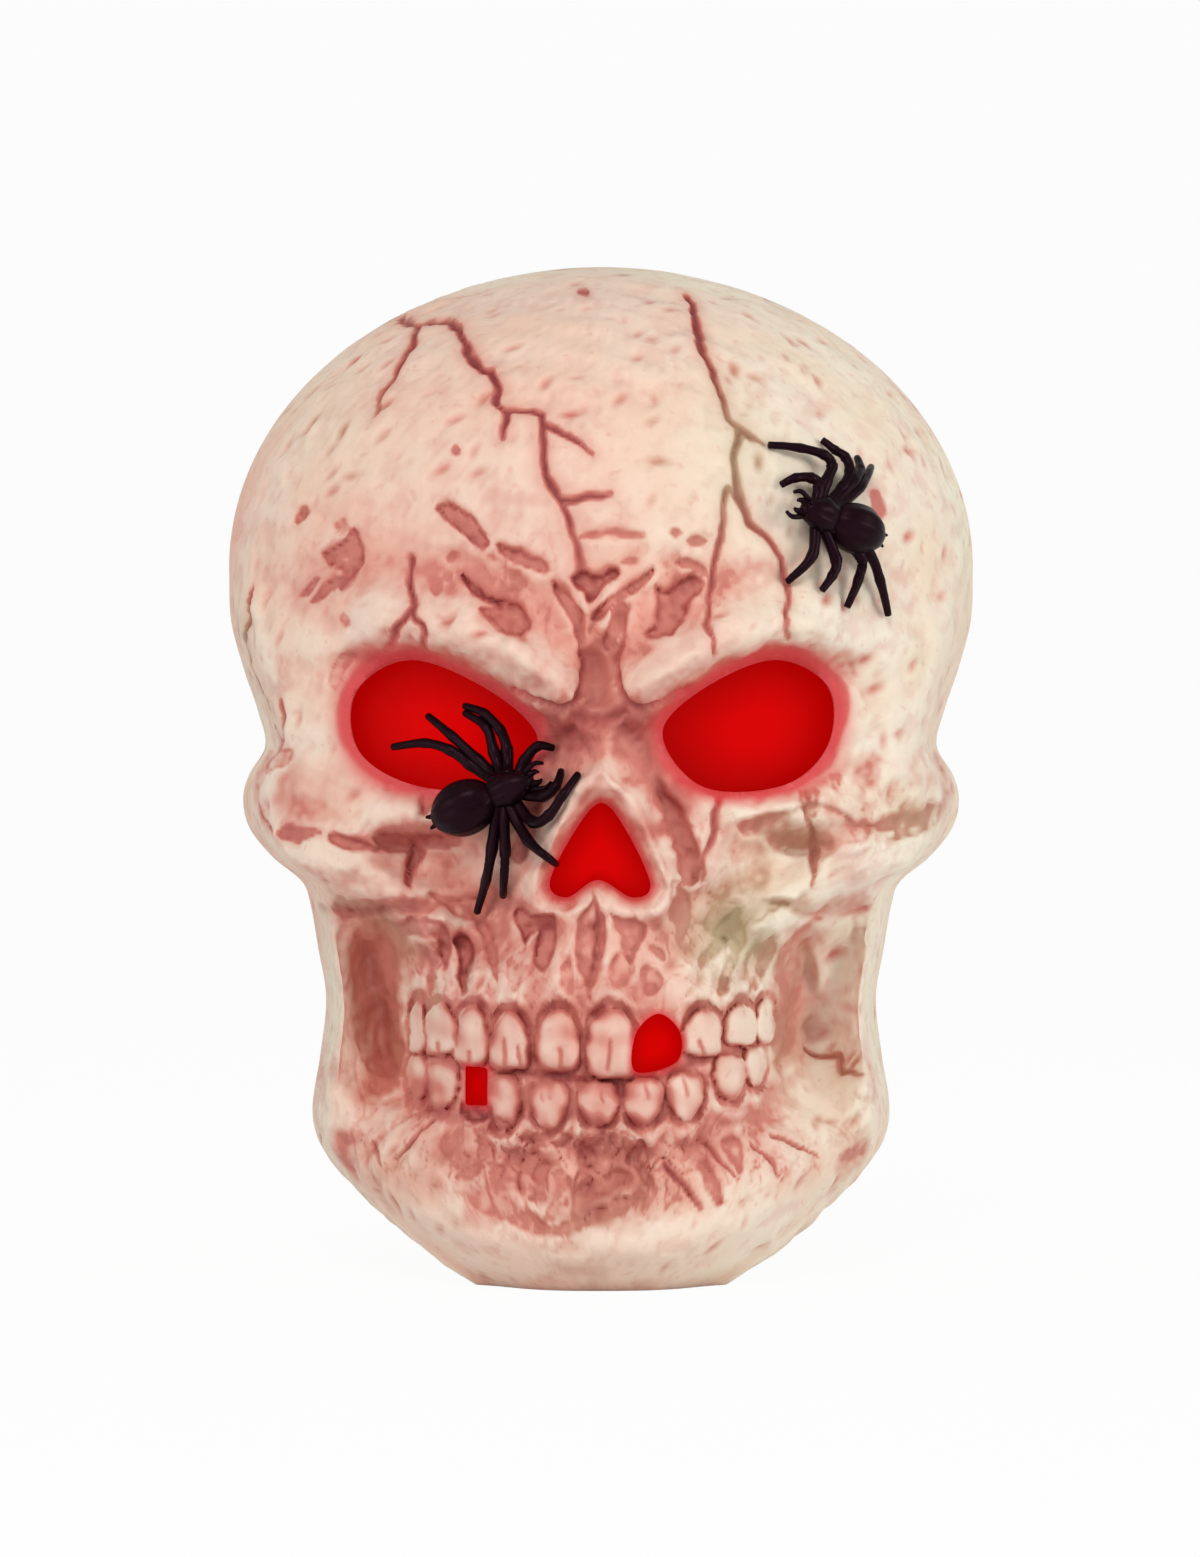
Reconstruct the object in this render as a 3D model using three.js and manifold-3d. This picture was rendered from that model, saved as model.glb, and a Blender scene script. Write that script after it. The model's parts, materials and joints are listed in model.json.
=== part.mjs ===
// Light-up skull ornament: a hollow two-piece translucent skull with red windows,
// two clip-on spiders, and a base that carries a battery box, a switch and a lamp post.
// Millimetres, +Z up, the face looks along -Y, and the origin is the middle of the underside.
import * as THREE from "three";
import { mergeVertices } from "three/addons/utils/BufferGeometryUtils.js";
import Module from "manifold-3d";

const wasm = await Module();
wasm.setup();

// Driving dimensions of the skull
const skullHeight = 205;
const domeCentre = 143;
const domeHalfWidth = 77;
const foreheadReach = 83;
const backReach = 91.8;
const rearDomeReach = 90.8;
const wall = 2.4;
const clearance = 0.4;
const seatGap = 0.3;

// Base and battery box
const plateThickness = 3;
const batteryLength = 50;
const batteryRadius = 7.1;
const bayWall = 1.8;
const bayMiddleY = -20;
const contactSpace = 3.2;
const doorThickness = 2.2;
const doorLift = 0.1;
const hingePin = 0.6;
const switchMiddleY = 25;
const switchTravel = 4;

// Lamp
const postSide = 10;
const postTop = 104;
const boardWidth = 34;
const boardHeight = 26;
const boardThickness = 1.6;
const ledRadius = 2.5;
const ledLength = 7;

// Windows
const windowThickness = 1.2;
const windowFlange = 2.2;
const eyeTurn = 16;
const eyeSeat = 65;
const noseSeat = 75.5;

// Fasteners
const screwShank = 1.25;
const screwHead = 2.7;
const screwHeadHeight = 1.8;
const pilotRadius = 1.5;
const bossRadius = 4;

// Mesh fineness
const frontColumns = 46;
const frontRowStep = 3.6;
const backColumns = 20;
const backRowStep = 8;
const innerColumns = 22;
const innerRowStep = 7.2;
const domeRows = 6;
const rearInnerColumns = 14;
const rearInnerRowStep = 9;

const materials = {
  bone: [0xead9c4, 0.5],
  base: [0x2a2523, 0.6],
  redWindow: [0xd40000, 0.25],
  spider: [0x17100f, 0.45],
  steel: [0xb8b8b4, 0.3],
  cell: [0x3a6b46, 0.35],
  board: [0x2e6b3a, 0.5],
  led: [0xe01010, 0.15],
  redLead: [0xb01515, 0.5],
  blackLead: [0x151515, 0.5],
};
const metals = new Set(["steel"]);

const group = new THREE.Group();

function addPart(name, solid, slot) {
  const [colour, roughness] = materials[slot];
  const metalness = metals.has(slot) ? 0.9 : 0;
  const material = new THREE.MeshStandardMaterial({ color: colour, roughness, metalness });
  const mesh = new THREE.Mesh(geometryOf(solid), material);
  mesh.name = name;
  group.add(mesh);
  return mesh;
}

// Solids and geometry
function solidOf(geometry) {
  const bare = geometry.clone();
  bare.deleteAttribute("normal");
  bare.deleteAttribute("uv");
  const merged = mergeVertices(bare, 1e-4);
  const index = merged.index.array;
  const kept = [];
  for (let i = 0; i < index.length; i += 3) {
    const [a, b, c] = [index[i], index[i + 1], index[i + 2]];
    if (a !== b && b !== c && a !== c) kept.push(a, b, c);
  }
  return new wasm.Manifold(
    new wasm.Mesh({
      numProp: 3,
      vertProperties: merged.attributes.position.array,
      triVerts: new Uint32Array(kept),
    }),
  );
}

function geometryOf(solid) {
  const mesh = solid.getMesh();
  const geometry = new THREE.BufferGeometry();
  geometry.setAttribute("position", new THREE.BufferAttribute(mesh.vertProperties, 3));
  geometry.setIndex(new THREE.BufferAttribute(mesh.triVerts, 1));
  geometry.computeVertexNormals();
  return geometry;
}

function union(solids) {
  return solids.reduce((sum, solid) => sum.add(solid));
}

// A block from its lowest and highest corners
function block(low, high) {
  const size = high.map((value, i) => value - low[i]);
  const geometry = new THREE.BoxGeometry(...size);
  geometry.translate(...low.map((value, i) => value + size[i] / 2));
  return solidOf(geometry);
}

// A round bar from one point to another
function bar(radius, from, to, sides = 16, endRadius = radius) {
  const start = new THREE.Vector3(...from);
  const along = new THREE.Vector3(...to).sub(start);
  const length = along.length();
  const geometry = new THREE.CylinderGeometry(endRadius, radius, length, sides);
  geometry.translate(0, length / 2, 0);
  const turn = new THREE.Quaternion().setFromUnitVectors(new THREE.Vector3(0, 1, 0), along.normalize());
  geometry.applyQuaternion(turn);
  geometry.translate(...from);
  return solidOf(geometry);
}

function ellipsoid(radii, turn, centre, fineness = 14) {
  const geometry = new THREE.SphereGeometry(1, fineness, Math.round(fineness * 0.7));
  geometry.scale(...radii);
  geometry.rotateY(turn);
  geometry.translate(...centre);
  return solidOf(geometry);
}

// A tube with a round section along a smooth curve through points
function tube(radius, points, steps, sides = 6) {
  const curve = new THREE.CatmullRomCurve3(points.map((p) => new THREE.Vector3(...p)));
  const section = new THREE.Shape();
  for (let i = 0; i < sides; i += 1) {
    const angle = (2 * Math.PI * i) / sides;
    const corner = [radius * Math.cos(angle), radius * Math.sin(angle)];
    if (i === 0) section.moveTo(...corner);
    else section.lineTo(...corner);
  }
  const options = { steps, extrudePath: curve, bevelEnabled: false };
  return solidOf(new THREE.ExtrudeGeometry(section, options));
}

// A plate whose outline is given in x and z, from one y to another
function plateAlongY(outline, yFront, yBack, pivot = [0, 0], turn = 0) {
  const shape = new THREE.Shape(outline.map(([x, z]) => new THREE.Vector2(x, z)));
  const geometry = new THREE.ExtrudeGeometry(shape, { depth: yBack - yFront, bevelEnabled: false });
  geometry.rotateX(Math.PI / 2);
  geometry.translate(0, yBack, 0);
  geometry.translate(-pivot[0], -pivot[1], 0);
  geometry.rotateZ(THREE.MathUtils.degToRad(turn));
  geometry.translate(pivot[0], pivot[1], 0);
  return solidOf(geometry);
}

// A closed smooth outline through a few points, and the same outline grown outwards
function smoothOutline(points, steps) {
  const curve = new THREE.CatmullRomCurve3(
    points.map(([x, z]) => new THREE.Vector3(x, z, 0)),
    true,
  );
  return curve.getPoints(steps).slice(0, -1).map((p) => [p.x, p.y]);
}

function grown(outline, by) {
  const count = outline.length;
  const area = outline.reduce((sum, [x, z], i) => {
    const [nextX, nextZ] = outline[(i + 1) % count];
    return sum + x * nextZ - nextX * z;
  }, 0);
  const side = Math.sign(area);
  return outline.map(([x, z], i) => {
    const [beforeX, beforeZ] = outline[(i + count - 1) % count];
    const [afterX, afterZ] = outline[(i + 1) % count];
    const run = [afterX - beforeX, afterZ - beforeZ];
    const length = Math.hypot(...run);
    return [x + (side * by * run[1]) / length, z - (side * by * run[0]) / length];
  });
}

// Smooth steps, blends and curves
function smoothStep(low, high, value) {
  const t = Math.min(1, Math.max(0, (value - low) / (high - low)));
  return t * t * (3 - 2 * t);
}

function mix(a, b, share) {
  return a + (b - a) * share;
}

function smoothMax(a, b, soft) {
  const share = Math.min(1, Math.max(0, 0.5 + (0.5 * (a - b)) / soft));
  return mix(b, a, share) + soft * share * (1 - share);
}

// A smooth value against height, through hand-chosen points
function heightCurve(points) {
  const slopes = points.map((point, i) => {
    const before = points[Math.max(0, i - 1)];
    const after = points[Math.min(points.length - 1, i + 1)];
    return (after[1] - before[1]) / (after[0] - before[0]);
  });
  return (z) => {
    const last = points.length - 1;
    if (z <= points[0][0]) return points[0][1];
    if (z >= points[last][0]) return points[last][1];
    const i = points.findIndex((point) => point[0] > z) - 1;
    const span = points[i + 1][0] - points[i][0];
    const t = (z - points[i][0]) / span;
    const [a, b] = [points[i][1], points[i + 1][1]];
    const [slopeA, slopeB] = [slopes[i] * span, slopes[i + 1] * span];
    const t2 = t * t;
    const t3 = t2 * t;
    const fromA = (2 * t3 - 3 * t2 + 1) * a + (t3 - 2 * t2 + t) * slopeA;
    return fromA + (3 * t2 - 2 * t3) * b + (t3 - t2) * slopeB;
  };
}

// Skull outline seen from the front: half-width at each height below the dome
const faceHalfWidth = heightCurve([
  [0, 27], [5, 36], [10, 43], [15, 49], [20, 54.5], [26, 58.6], [32, 59.6], [42, 58.2], [54, 57],
  [64, 58.6], [74, 60.4], [78, 62], [83, 68], [89, 72.8], [95, 74.2], [100, 73], [106, 69.6],
  [113, 71], [122, 74], [132, 76.6], [domeCentre, domeHalfWidth],
]);
// Half-width of the cranium and of the neck behind the face
const backHalfWidth = heightCurve([
  [0, 28], [25, 31], [50, 35], [70, 41], [84, 51], [96, 60], [108, 67], [124, 73.5], [domeCentre, domeHalfWidth],
]);
// Reach of the plain skull in front of the parting plane, without brow, cheeks, teeth or chin
const plainReach = heightCurve([
  [0, 79], [5, 85], [11, 88], [19, 86], [27, 82], [33, 74], [40, 52], [48, 44], [66, 46], [80, 50],
  [94, 55], [104, 60], [112, 66], [120, 74], [130, 81], [domeCentre, foreheadReach],
]);
// Reach behind the parting plane: neck, nape and back of the cranium
const rearReach = heightCurve([
  [0, 40], [30, 40], [58, 42], [72, 47], [84, 58], [96, 72], [110, 85], [126, backReach], [domeCentre, rearDomeReach],
]);
// The plan section is squarer at the chin and round above it
const planPower = heightCurve([[0, 3], [12, 2.8], [30, 2.3], [60, 2], [skullHeight, 2]]);

const domeHeight = skullHeight - domeCentre;

// Share of the full width and reach that is left at a height in the dome, or in a dome inset from it
function domeShare(z, inset = 0) {
  if (z <= domeCentre) return 1;
  return Math.sqrt(Math.max(0, 1 - ((z - domeCentre) / (domeHeight - inset)) ** 2));
}

function frontWidth(z, inset = 0) {
  return z > domeCentre ? (domeHalfWidth - inset) * domeShare(z, inset) : faceHalfWidth(z) - inset;
}

// The forms that stand on the plain skull, right side; each is mirrored to the left.
// A ridge runs through points of x, z and reach.
const ridges = [
  { name: "brow", radius: 7.5, points: [[6, 115, 84], [14, 119.5, 86], [26, 126, 85], [40, 131, 77], [53, 126, 62]] },
  { name: "outerRim", radius: 6, points: [[53, 126, 63], [56.5, 114, 58], [55, 101, 58]] },
  { name: "lowerRim", radius: 5, points: [[55, 100, 59], [42, 93, 68], [26, 91.5, 74], [15, 95, 77]] },
  { name: "cheekArch", radius: 8, points: [[46, 87, 66], [60, 88.5, 48], [70, 92, 20]] },
  { name: "cheekFoot", radius: 6, points: [[50, 80, 58], [40, 73, 66], [33, 63, 68]] },
  { name: "noseBridge", radius: 6, points: [[0, 116, 79], [0, 106, 84], [0, 97.5, 88]] },
  { name: "noseRim", radius: 3.6, points: [[0, 97.5, 87], [7, 90, 85], [12.5, 80, 83], [9.5, 73.5, 84], [0, 75, 87]] },
  { name: "noseSide", radius: 6, points: [[7, 110, 76], [15, 96, 77], [19, 82, 78]] },
  { name: "ramus", radius: 8, points: [[52, 84, 28], [50.5, 62, 35], [51, 42, 40], [48, 30, 52]] },
];
const bulges = [
  { name: "glabella", x: 0, z: 128, reach: 84.5, width: 24, height: 14, deep: 18 },
  { name: "cheekbone", x: 47, z: 86, reach: 66, width: 20, height: 9, deep: 22 },
  { name: "maxilla", x: 0, z: 66, reach: 86, width: 37, height: 24, deep: 34 },
  { name: "chin", x: 0, z: 10, reach: 90, width: 21, height: 10, deep: 14 },
];
// The gum line of both jaws bulges in an arch
const gumArch = { halfWidth: 38, deep: 37, reach: 87.2, low: 32, high: 60, fade: 9 };
// Upper and lower teeth: middle and half-width of each crown
const upperTeeth = [
  [-35.5, 2.6], [-30.6, 3], [-24.8, 3.4], [-17.2, 4], [-7.8, 4.5], [2.2, 4.7],
  [20, 3.6], [26.8, 3], [31.6, 2.6], [35.4, 2.2],
];
const lowerTeeth = [
  [-34.5, 2.4], [-30, 2.9], [-17.8, 3.6], [-9, 3.6], [-0.8, 3.8], [8.4, 4], [16.8, 3.7], [24.2, 3.4], [30.6, 3],
];
const upperToothRow = { middle: 48.6, halfHeight: 5.9, proud: 2.4 };
const lowerToothRow = { middle: 36.8, halfHeight: 4.6, proud: 2 };

// Openings for the red windows, seen from the front
const rightEye = [
  [11.9, 107.8], [19.3, 116.4], [33.9, 122.6], [44.6, 117.4], [44.7, 106], [36, 98], [20, 97.6],
];
const leftEye = [
  [-12.3, 107], [-21.7, 116.4], [-37.3, 122.6], [-48.2, 116.4], [-47.6, 104.6], [-36, 97.8], [-19, 97.8],
];
const nose = [
  [0, 94.6], [-5.4, 88.6], [-10, 79], [-6.6, 76.2], [-0.6, 79.6], [6, 76.2], [9.6, 78.6], [5, 89],
];
const upperGap = [[11, 54], [6.6, 50], [6.6, 42.6], [14.6, 44.4], [15.2, 50.4]];
const lowerGap = [[-26.4, 43.4], [-22, 43.2], [-22, 35.6], [-26.4, 35.6]];

// Fall of a form away from its crest, in shares of its radius: round on top, then an even slope
function softDrop(away) {
  return away < 0.75 ? away * away : 0.5625 + 1.5 * (away - 0.75);
}

function ridgeReach(ridge, x, z) {
  let best = -Infinity;
  for (let i = 0; i + 1 < ridge.points.length; i += 1) {
    const [ax, az, aReach] = ridge.points[i];
    const [bx, bz, bReach] = ridge.points[i + 1];
    const run = [bx - ax, bz - az];
    const along = ((x - ax) * run[0] + (z - az) * run[1]) / (run[0] ** 2 + run[1] ** 2);
    const t = Math.min(1, Math.max(0, along));
    const away = Math.hypot(x - ax - t * run[0], z - az - t * run[1]) / ridge.radius;
    best = Math.max(best, mix(aReach, bReach, t) - ridge.radius * softDrop(away));
  }
  return best;
}

function bulgeReach(bulge, x, z) {
  const away = Math.hypot((x - bulge.x) / bulge.width, (z - bulge.z) / bulge.height);
  return bulge.reach - bulge.deep * softDrop(away);
}

function archReach(x, z) {
  const away = Math.abs(x) / gumArch.halfWidth;
  const drop = away < 1 ? away ** 3 : 1 + 3 * (away - 1);
  const beyond = Math.max(gumArch.low - z, z - gumArch.high, 0) / gumArch.fade;
  return gumArch.reach - gumArch.deep * drop - 10 * beyond * beyond;
}

function toothRise(teeth, row, x, z) {
  const up = Math.abs(z - row.middle) / row.halfHeight;
  return teeth.reduce((most, [middle, half]) => {
    const away = (Math.abs(x - middle) / half) ** 4 + up ** 4;
    return Math.max(most, row.proud * (1 - Math.min(1, away)));
  }, 0);
}

// How far a point lies outside a polygon outline, negative inside
function outside(outline, x, z) {
  let nearest = Infinity;
  let inside = false;
  outline.forEach(([ax, az], i) => {
    const [bx, bz] = outline[(i + 1) % outline.length];
    const run = [bx - ax, bz - az];
    const along = ((x - ax) * run[0] + (z - az) * run[1]) / (run[0] ** 2 + run[1] ** 2);
    const t = Math.min(1, Math.max(0, along));
    nearest = Math.min(nearest, Math.hypot(x - ax - t * run[0], z - az - t * run[1]));
    if (az > z !== bz > z && x < ax + ((z - az) / (bz - az)) * run[0]) inside = !inside;
  });
  return inside ? -nearest : nearest;
}

// The seat plane of an eye leans outwards, about the middle of the eye
const eyeMiddleX = 30;
const eyeSlope = Math.tan(THREE.MathUtils.degToRad(eyeTurn));

function eyeSeatReach(x) {
  return eyeSeat - (Math.abs(x) - eyeMiddleX) * eyeSlope;
}

const eyeRimDepth = 4;
const noseRimDepth = 4;
const socketSlope = 10;
const eyeOutlines = [rightEye, leftEye].map((points) => smoothOutline(points, 28));
const noseOutline = smoothOutline(nose, 24);

// How far the face reaches in front of the parting plane
function faceReach(x, z, withTeeth = true, withSockets = true) {
  const half = frontWidth(z);
  const across = Math.min(1, Math.abs(x) / half);
  const power = planPower(z);
  const plain = (z > domeCentre ? foreheadReach * domeShare(z) : plainReach(z)) * (1 - across ** power) ** (1 / power);
  let reach = plain;
  const side = Math.abs(x);
  for (const bulge of bulges) reach = smoothMax(reach, bulgeReach(bulge, side, z), 5);
  for (const ridge of ridges) reach = smoothMax(reach, ridgeReach(ridge, side, z), 4);
  reach = smoothMax(reach, archReach(x, z), 3);
  if (withTeeth) {
    reach += toothRise(upperTeeth, upperToothRow, x, z) + toothRise(lowerTeeth, lowerToothRow, x, z);
  }
  if (withSockets) {
    const eyeAway = outside(eyeOutlines[x > 0 ? 0 : 1], x, z);
    reach = mix(eyeSeatReach(x) + eyeRimDepth, reach, smoothStep(0, socketSlope, eyeAway));
    const noseAway = outside(noseOutline, x, z);
    reach = mix(Math.min(reach, noseSeat + noseRimDepth), reach, smoothStep(0, 3, noseAway));
  }
  return mix(plain, reach, smoothStep(0, 0.1, 1 - across));
}

// The inner face stays a wall's thickness inside the outer one, whichever way the face slopes
function innerReach(x, z) {
  let least = faceReach(x, z, false) - wall;
  for (let i = 0; i < 16; i += 1) {
    const angle = (Math.PI * i) / 8;
    const radius = i % 2 ? wall : 2 * wall;
    const near = faceReach(x + radius * Math.cos(angle), z + radius * Math.sin(angle), false);
    least = Math.min(least, near - 0.7 * wall);
  }
  return Math.max(0, least);
}

// Points of the shells at a height and an angle from the midline
function facePoint(z, angle, inset, reachAt) {
  const x = frontWidth(z, inset) * Math.sin(angle);
  const edge = Math.abs(Math.abs(angle) - Math.PI / 2) < 1e-6;
  return [x, edge ? 0 : -reachAt(x, z), z];
}

// Behind the parting plane the jaw fades into the neck over this distance
const jawFade = 26;

function rearPoint(z, angle, inset) {
  const inDome = z > domeCentre;
  const rear = inDome ? (rearDomeReach - inset) * domeShare(z, inset) : rearReach(z) - inset;
  const y = rear * Math.cos(angle);
  const behind = smoothStep(0, jawFade, y);
  const behindWidth = inDome ? frontWidth(z, inset) : backHalfWidth(z) - inset;
  const half = mix(frontWidth(z, inset), behindWidth, behind);
  const edge = Math.abs(Math.abs(angle) - Math.PI / 2) < 1e-6;
  return [half * Math.sin(angle), edge ? 0 : y, z];
}

// Heights of the rows: even up to the dome, then even along the dome's arc
function rowHeights(step, low, top) {
  const count = Math.round((domeCentre - low) / step);
  const heights = [];
  for (let i = 0; i < count; i += 1) heights.push(low + ((domeCentre - low) * i) / count);
  const rows = Math.max(6, Math.round((domeRows * frontRowStep) / step) + 2);
  for (let i = 0; i < rows; i += 1) {
    heights.push(domeCentre + (top - domeCentre) * Math.sin((Math.PI * i) / 2 / rows));
  }
  return heights;
}

// Distance between two corners of a list of coordinates
function gap(points, a, b) {
  const from = points.slice(3 * a, 3 * a + 3);
  return Math.hypot(...from.map((value, i) => points[3 * b + i] - value));
}

// A closed half skull: the curved side, a flat face in the parting plane, a flat foot and a point on top
function halfSolid(heights, columns, pointAt, top, partingY, forward) {
  const points = [];
  heights.forEach((z) => {
    for (let j = 0; j <= columns; j += 1) {
      const angle = (Math.PI * j) / columns - Math.PI / 2;
      const [x, y] = pointAt(z, angle);
      points.push(x, j === 0 || j === columns ? partingY : y, z);
    }
  });
  const topIndex = points.length / 3;
  points.push(0, partingY, top);
  const footIndex = topIndex + 1;
  points.push(0, partingY, heights[0]);
  const faces = [];
  const at = (i, j) => i * (columns + 1) + j;
  const last = heights.length - 1;
  for (let i = 0; i < last; i += 1) {
    for (let j = 0; j < columns; j += 1) {
      const [a, b, c, d] = [at(i, j), at(i, j + 1), at(i + 1, j + 1), at(i + 1, j)];
      if (gap(points, a, c) < gap(points, b, d)) faces.push([a, b, c], [a, c, d]);
      else faces.push([a, b, d], [b, c, d]);
    }
    const [a, b, c, d] = [at(i, 0), at(i, columns), at(i + 1, columns), at(i + 1, 0)];
    faces.push([a, c, b], [a, d, c]);
  }
  for (let j = 0; j < columns; j += 1) {
    faces.push([at(last, j), at(last, j + 1), topIndex]);
    faces.push([at(0, j + 1), at(0, j), footIndex]);
  }
  faces.push([at(last, columns), at(last, 0), topIndex]);
  faces.push([at(0, 0), at(0, columns), footIndex]);
  const index = faces.flatMap(([a, b, c]) => (forward ? [a, b, c] : [a, c, b]));
  const geometry = new THREE.BufferGeometry();
  geometry.setAttribute("position", new THREE.Float32BufferAttribute(points, 3));
  geometry.setIndex(index);
  return solidOf(geometry);
}

// Windows: each has an opening outline, a seat reach, and a lean about its own middle
const windows = [
  { name: "eye_window_right", outline: eyeOutlines[0], seat: eyeSeat, x: eyeMiddleX, turn: eyeTurn },
  { name: "eye_window_left", outline: eyeOutlines[1], seat: eyeSeat, x: -eyeMiddleX, turn: -eyeTurn },
  { name: "nose_window", outline: noseOutline, seat: noseSeat, x: 0, turn: 0 },
  { name: "upper_gap_window", outline: smoothOutline(upperGap, 16), seat: 80, x: 11, turn: 12 },
  { name: "lower_gap_window", outline: lowerGap, seat: 72.5, x: -24.2, turn: -32 },
];

function leaningPlate(pane, growth, yFront, yBack) {
  const outline = growth > 0 ? grown(pane.outline, growth) : pane.outline;
  return plateAlongY(outline, yFront, yBack, [pane.x, -pane.seat], pane.turn);
}

for (const pane of windows) {
  const seatY = -pane.seat;
  pane.seatSolid = leaningPlate(pane, windowFlange + 1.6, seatY - 30, seatY);
  pane.pocket = leaningPlate(pane, windowFlange + 0.5, seatY, seatY + 30);
  pane.opening = leaningPlate(pane, 0, seatY - 40, seatY + 10);
  pane.solid = leaningPlate(pane, windowFlange, seatY + seatGap, seatY + seatGap + windowThickness);
}

// Points and directions on the smooth skin under the spiders
function skinNormal(x, z) {
  const step = 2;
  const slopeX = (faceReach(x + step, z, false, false) - faceReach(x - step, z, false, false)) / (2 * step);
  const slopeZ = (faceReach(x, z + step, false, false) - faceReach(x, z - step, false, false)) / (2 * step);
  return new THREE.Vector3(-slopeX, -1, -slopeZ).normalize();
}

// A point a given height above the skin; over an eye the skin is taken as level with the rim
function skinPoint(x, z, lift) {
  const skin = faceReach(x, z, false, false);
  const level = z < 124 ? Math.max(skin, eyeSeatReach(x) + eyeRimDepth) : skin;
  return new THREE.Vector3(x, -level + lift / skinNormal(x, z).y, z);
}

// Spiders: body parts and legs follow the skin; each point is x, z and height above the skin
const spiders = [
  {
    name: "cheek_spider",
    thorax: { at: [-18.1, 97.1, 4.6], radii: [4.4, 3.2, 2.6] },
    abdomen: { at: [-26.6, 93.4, 5], radii: [6.8, 4.8, 4.2] },
    heading: [8.5, 3.7],
    stud: [-27.6, 90.4],
    legs: [
      [[-22.5, 99, 5], [-29, 104.5, 8], [-35.5, 106, 5], [-40.5, 105.4, 2.2]],
      [[-21, 99.4, 5], [-26, 105.8, 9], [-31.3, 109.2, 5.6], [-33.7, 112, 2.6]],
      [[-19.4, 99.6, 5], [-19.6, 106.4, 9], [-23, 111, 6], [-27, 112.8, 2.8]],
      [[-16.4, 99, 5], [-14.2, 103.4, 8], [-11.8, 105.6, 5], [-8.9, 105.4, 1.8]],
      [[-15.8, 94.4, 5], [-11.9, 92, 8], [-8.4, 95.6, 5.4], [-4.7, 100.4, 1.8]],
      [[-17.4, 93.4, 5], [-13.8, 88, 8.5], [-11, 85.2, 5], [-8.9, 82.6, 1.8]],
      [[-19.6, 92.6, 5], [-18.3, 85, 9], [-18.6, 80, 5], [-19.2, 76.4, 1.6]],
      [[-21.4, 92.2, 5], [-21, 85, 9], [-22.4, 78.4, 5], [-24.2, 73.2, 1.6]],
    ],
  },
  {
    name: "forehead_spider",
    thorax: { at: [43, 150.8, 4.4], radii: [4.6, 3.3, 2.7] },
    abdomen: { at: [50, 148.2, 4.8], radii: [6.6, 5, 4.2] },
    heading: [-7.4, 2.6],
    stud: [46.5, 149.4],
    legs: [
      [[43.6, 153, 5], [45.4, 158.6, 8.5], [40.4, 163, 5], [33.1, 164.7, 1.4]],
      [[42, 153, 5], [43, 157.4, 8], [39.4, 158.6, 4.6], [35.5, 157.2, 1.4]],
      [[45.4, 153, 5], [48.6, 158.8, 8.5], [47.4, 163, 5], [43.5, 165.6, 1.4]],
      [[47.4, 152.6, 5], [51, 157.8, 8], [52.2, 160, 4.6], [52.9, 162.2, 1.4]],
      [[43.4, 148.6, 5], [41.4, 143.4, 8], [39, 140.6, 4.6], [36.7, 138, 1.4]],
      [[45.2, 148, 5], [45.4, 141.4, 8.5], [44.6, 138.6, 5], [43.5, 136, 1.4]],
      [[47.4, 147.4, 5], [50.4, 140.4, 8.5], [49.4, 136.4, 5], [48.2, 132.8, 1.4]],
      [[49, 147, 5], [54.4, 140.4, 8.5], [55.6, 136, 5], [56.1, 131.6, 1.4]],
    ],
  },
];
const legRadius = 0.8;
const studRadius = 1.1;
const studBossDepth = 6;
const nutRadius = 2.8;
const nutThickness = 0.8;

// A body part lies along the heading, flat to the skin
function spiderBody(part, heading) {
  const [x, z, lift] = part.at;
  const up = skinNormal(x, z);
  const length = Math.hypot(...heading);
  const ahead = skinPoint(x + heading[0] / length, z + heading[1] / length, 0).sub(skinPoint(x, z, 0));
  ahead.addScaledVector(up, -ahead.dot(up)).normalize();
  const across = new THREE.Vector3().crossVectors(up, ahead);
  const geometry = new THREE.SphereGeometry(1, 12, 8);
  geometry.scale(...part.radii);
  geometry.applyMatrix4(new THREE.Matrix4().makeBasis(ahead, across, up));
  geometry.translate(...skinPoint(x, z, lift).toArray());
  return solidOf(geometry);
}

for (const spider of spiders) {
  const [x, z] = spider.stud;
  const inward = skinNormal(x, z).negate();
  const along = (depth) => skinPoint(x, z, 0).addScaledVector(inward, depth).toArray();
  spider.boss = bar(nutRadius + 1.2, along(0), along(studBossDepth), 14);
  spider.hole = bar(studRadius + seatGap, along(-12), along(studBossDepth + 1), 10);
  spider.pocket = bar(nutRadius + 0.6, along(studBossDepth), along(studBossDepth + 9), 14);
  const nutStart = studBossDepth + seatGap;
  const disc = bar(nutRadius, along(nutStart), along(nutStart + nutThickness), 14);
  const eye = bar(studRadius + seatGap, along(nutStart - 1), along(nutStart + 2), 10);
  spider.nut = disc.subtract(eye);
  const legs = spider.legs.map((leg) => {
    const points = [spider.thorax.at, ...leg].map((point) => skinPoint(...point).toArray());
    return tube(legRadius, points, 8, 5);
  });
  const stud = bar(studRadius, along(-5), along(nutStart + nutThickness + 1.2), 10);
  const bodies = [spider.thorax, spider.abdomen].map((part) => spiderBody(part, spider.heading));
  spider.solid = union([...bodies, ...legs, stud]);
}

// Shell screws: x, z of the posts in the back shell and the bosses in the face shell
const upperPostX = domeHalfWidth - 19;
const upperPostZ = domeCentre + 7;
const lowerPostX = 36;
const lowerPostZ = 80;
const shellPosts = [
  [upperPostX, upperPostZ], [-upperPostX, upperPostZ], [lowerPostX, lowerPostZ], [-lowerPostX, lowerPostZ],
];
const postRadius = 5;
const screwSeatY = 9;
const shellScrewLength = 17;
const faceBossDepth = 14;

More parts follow.
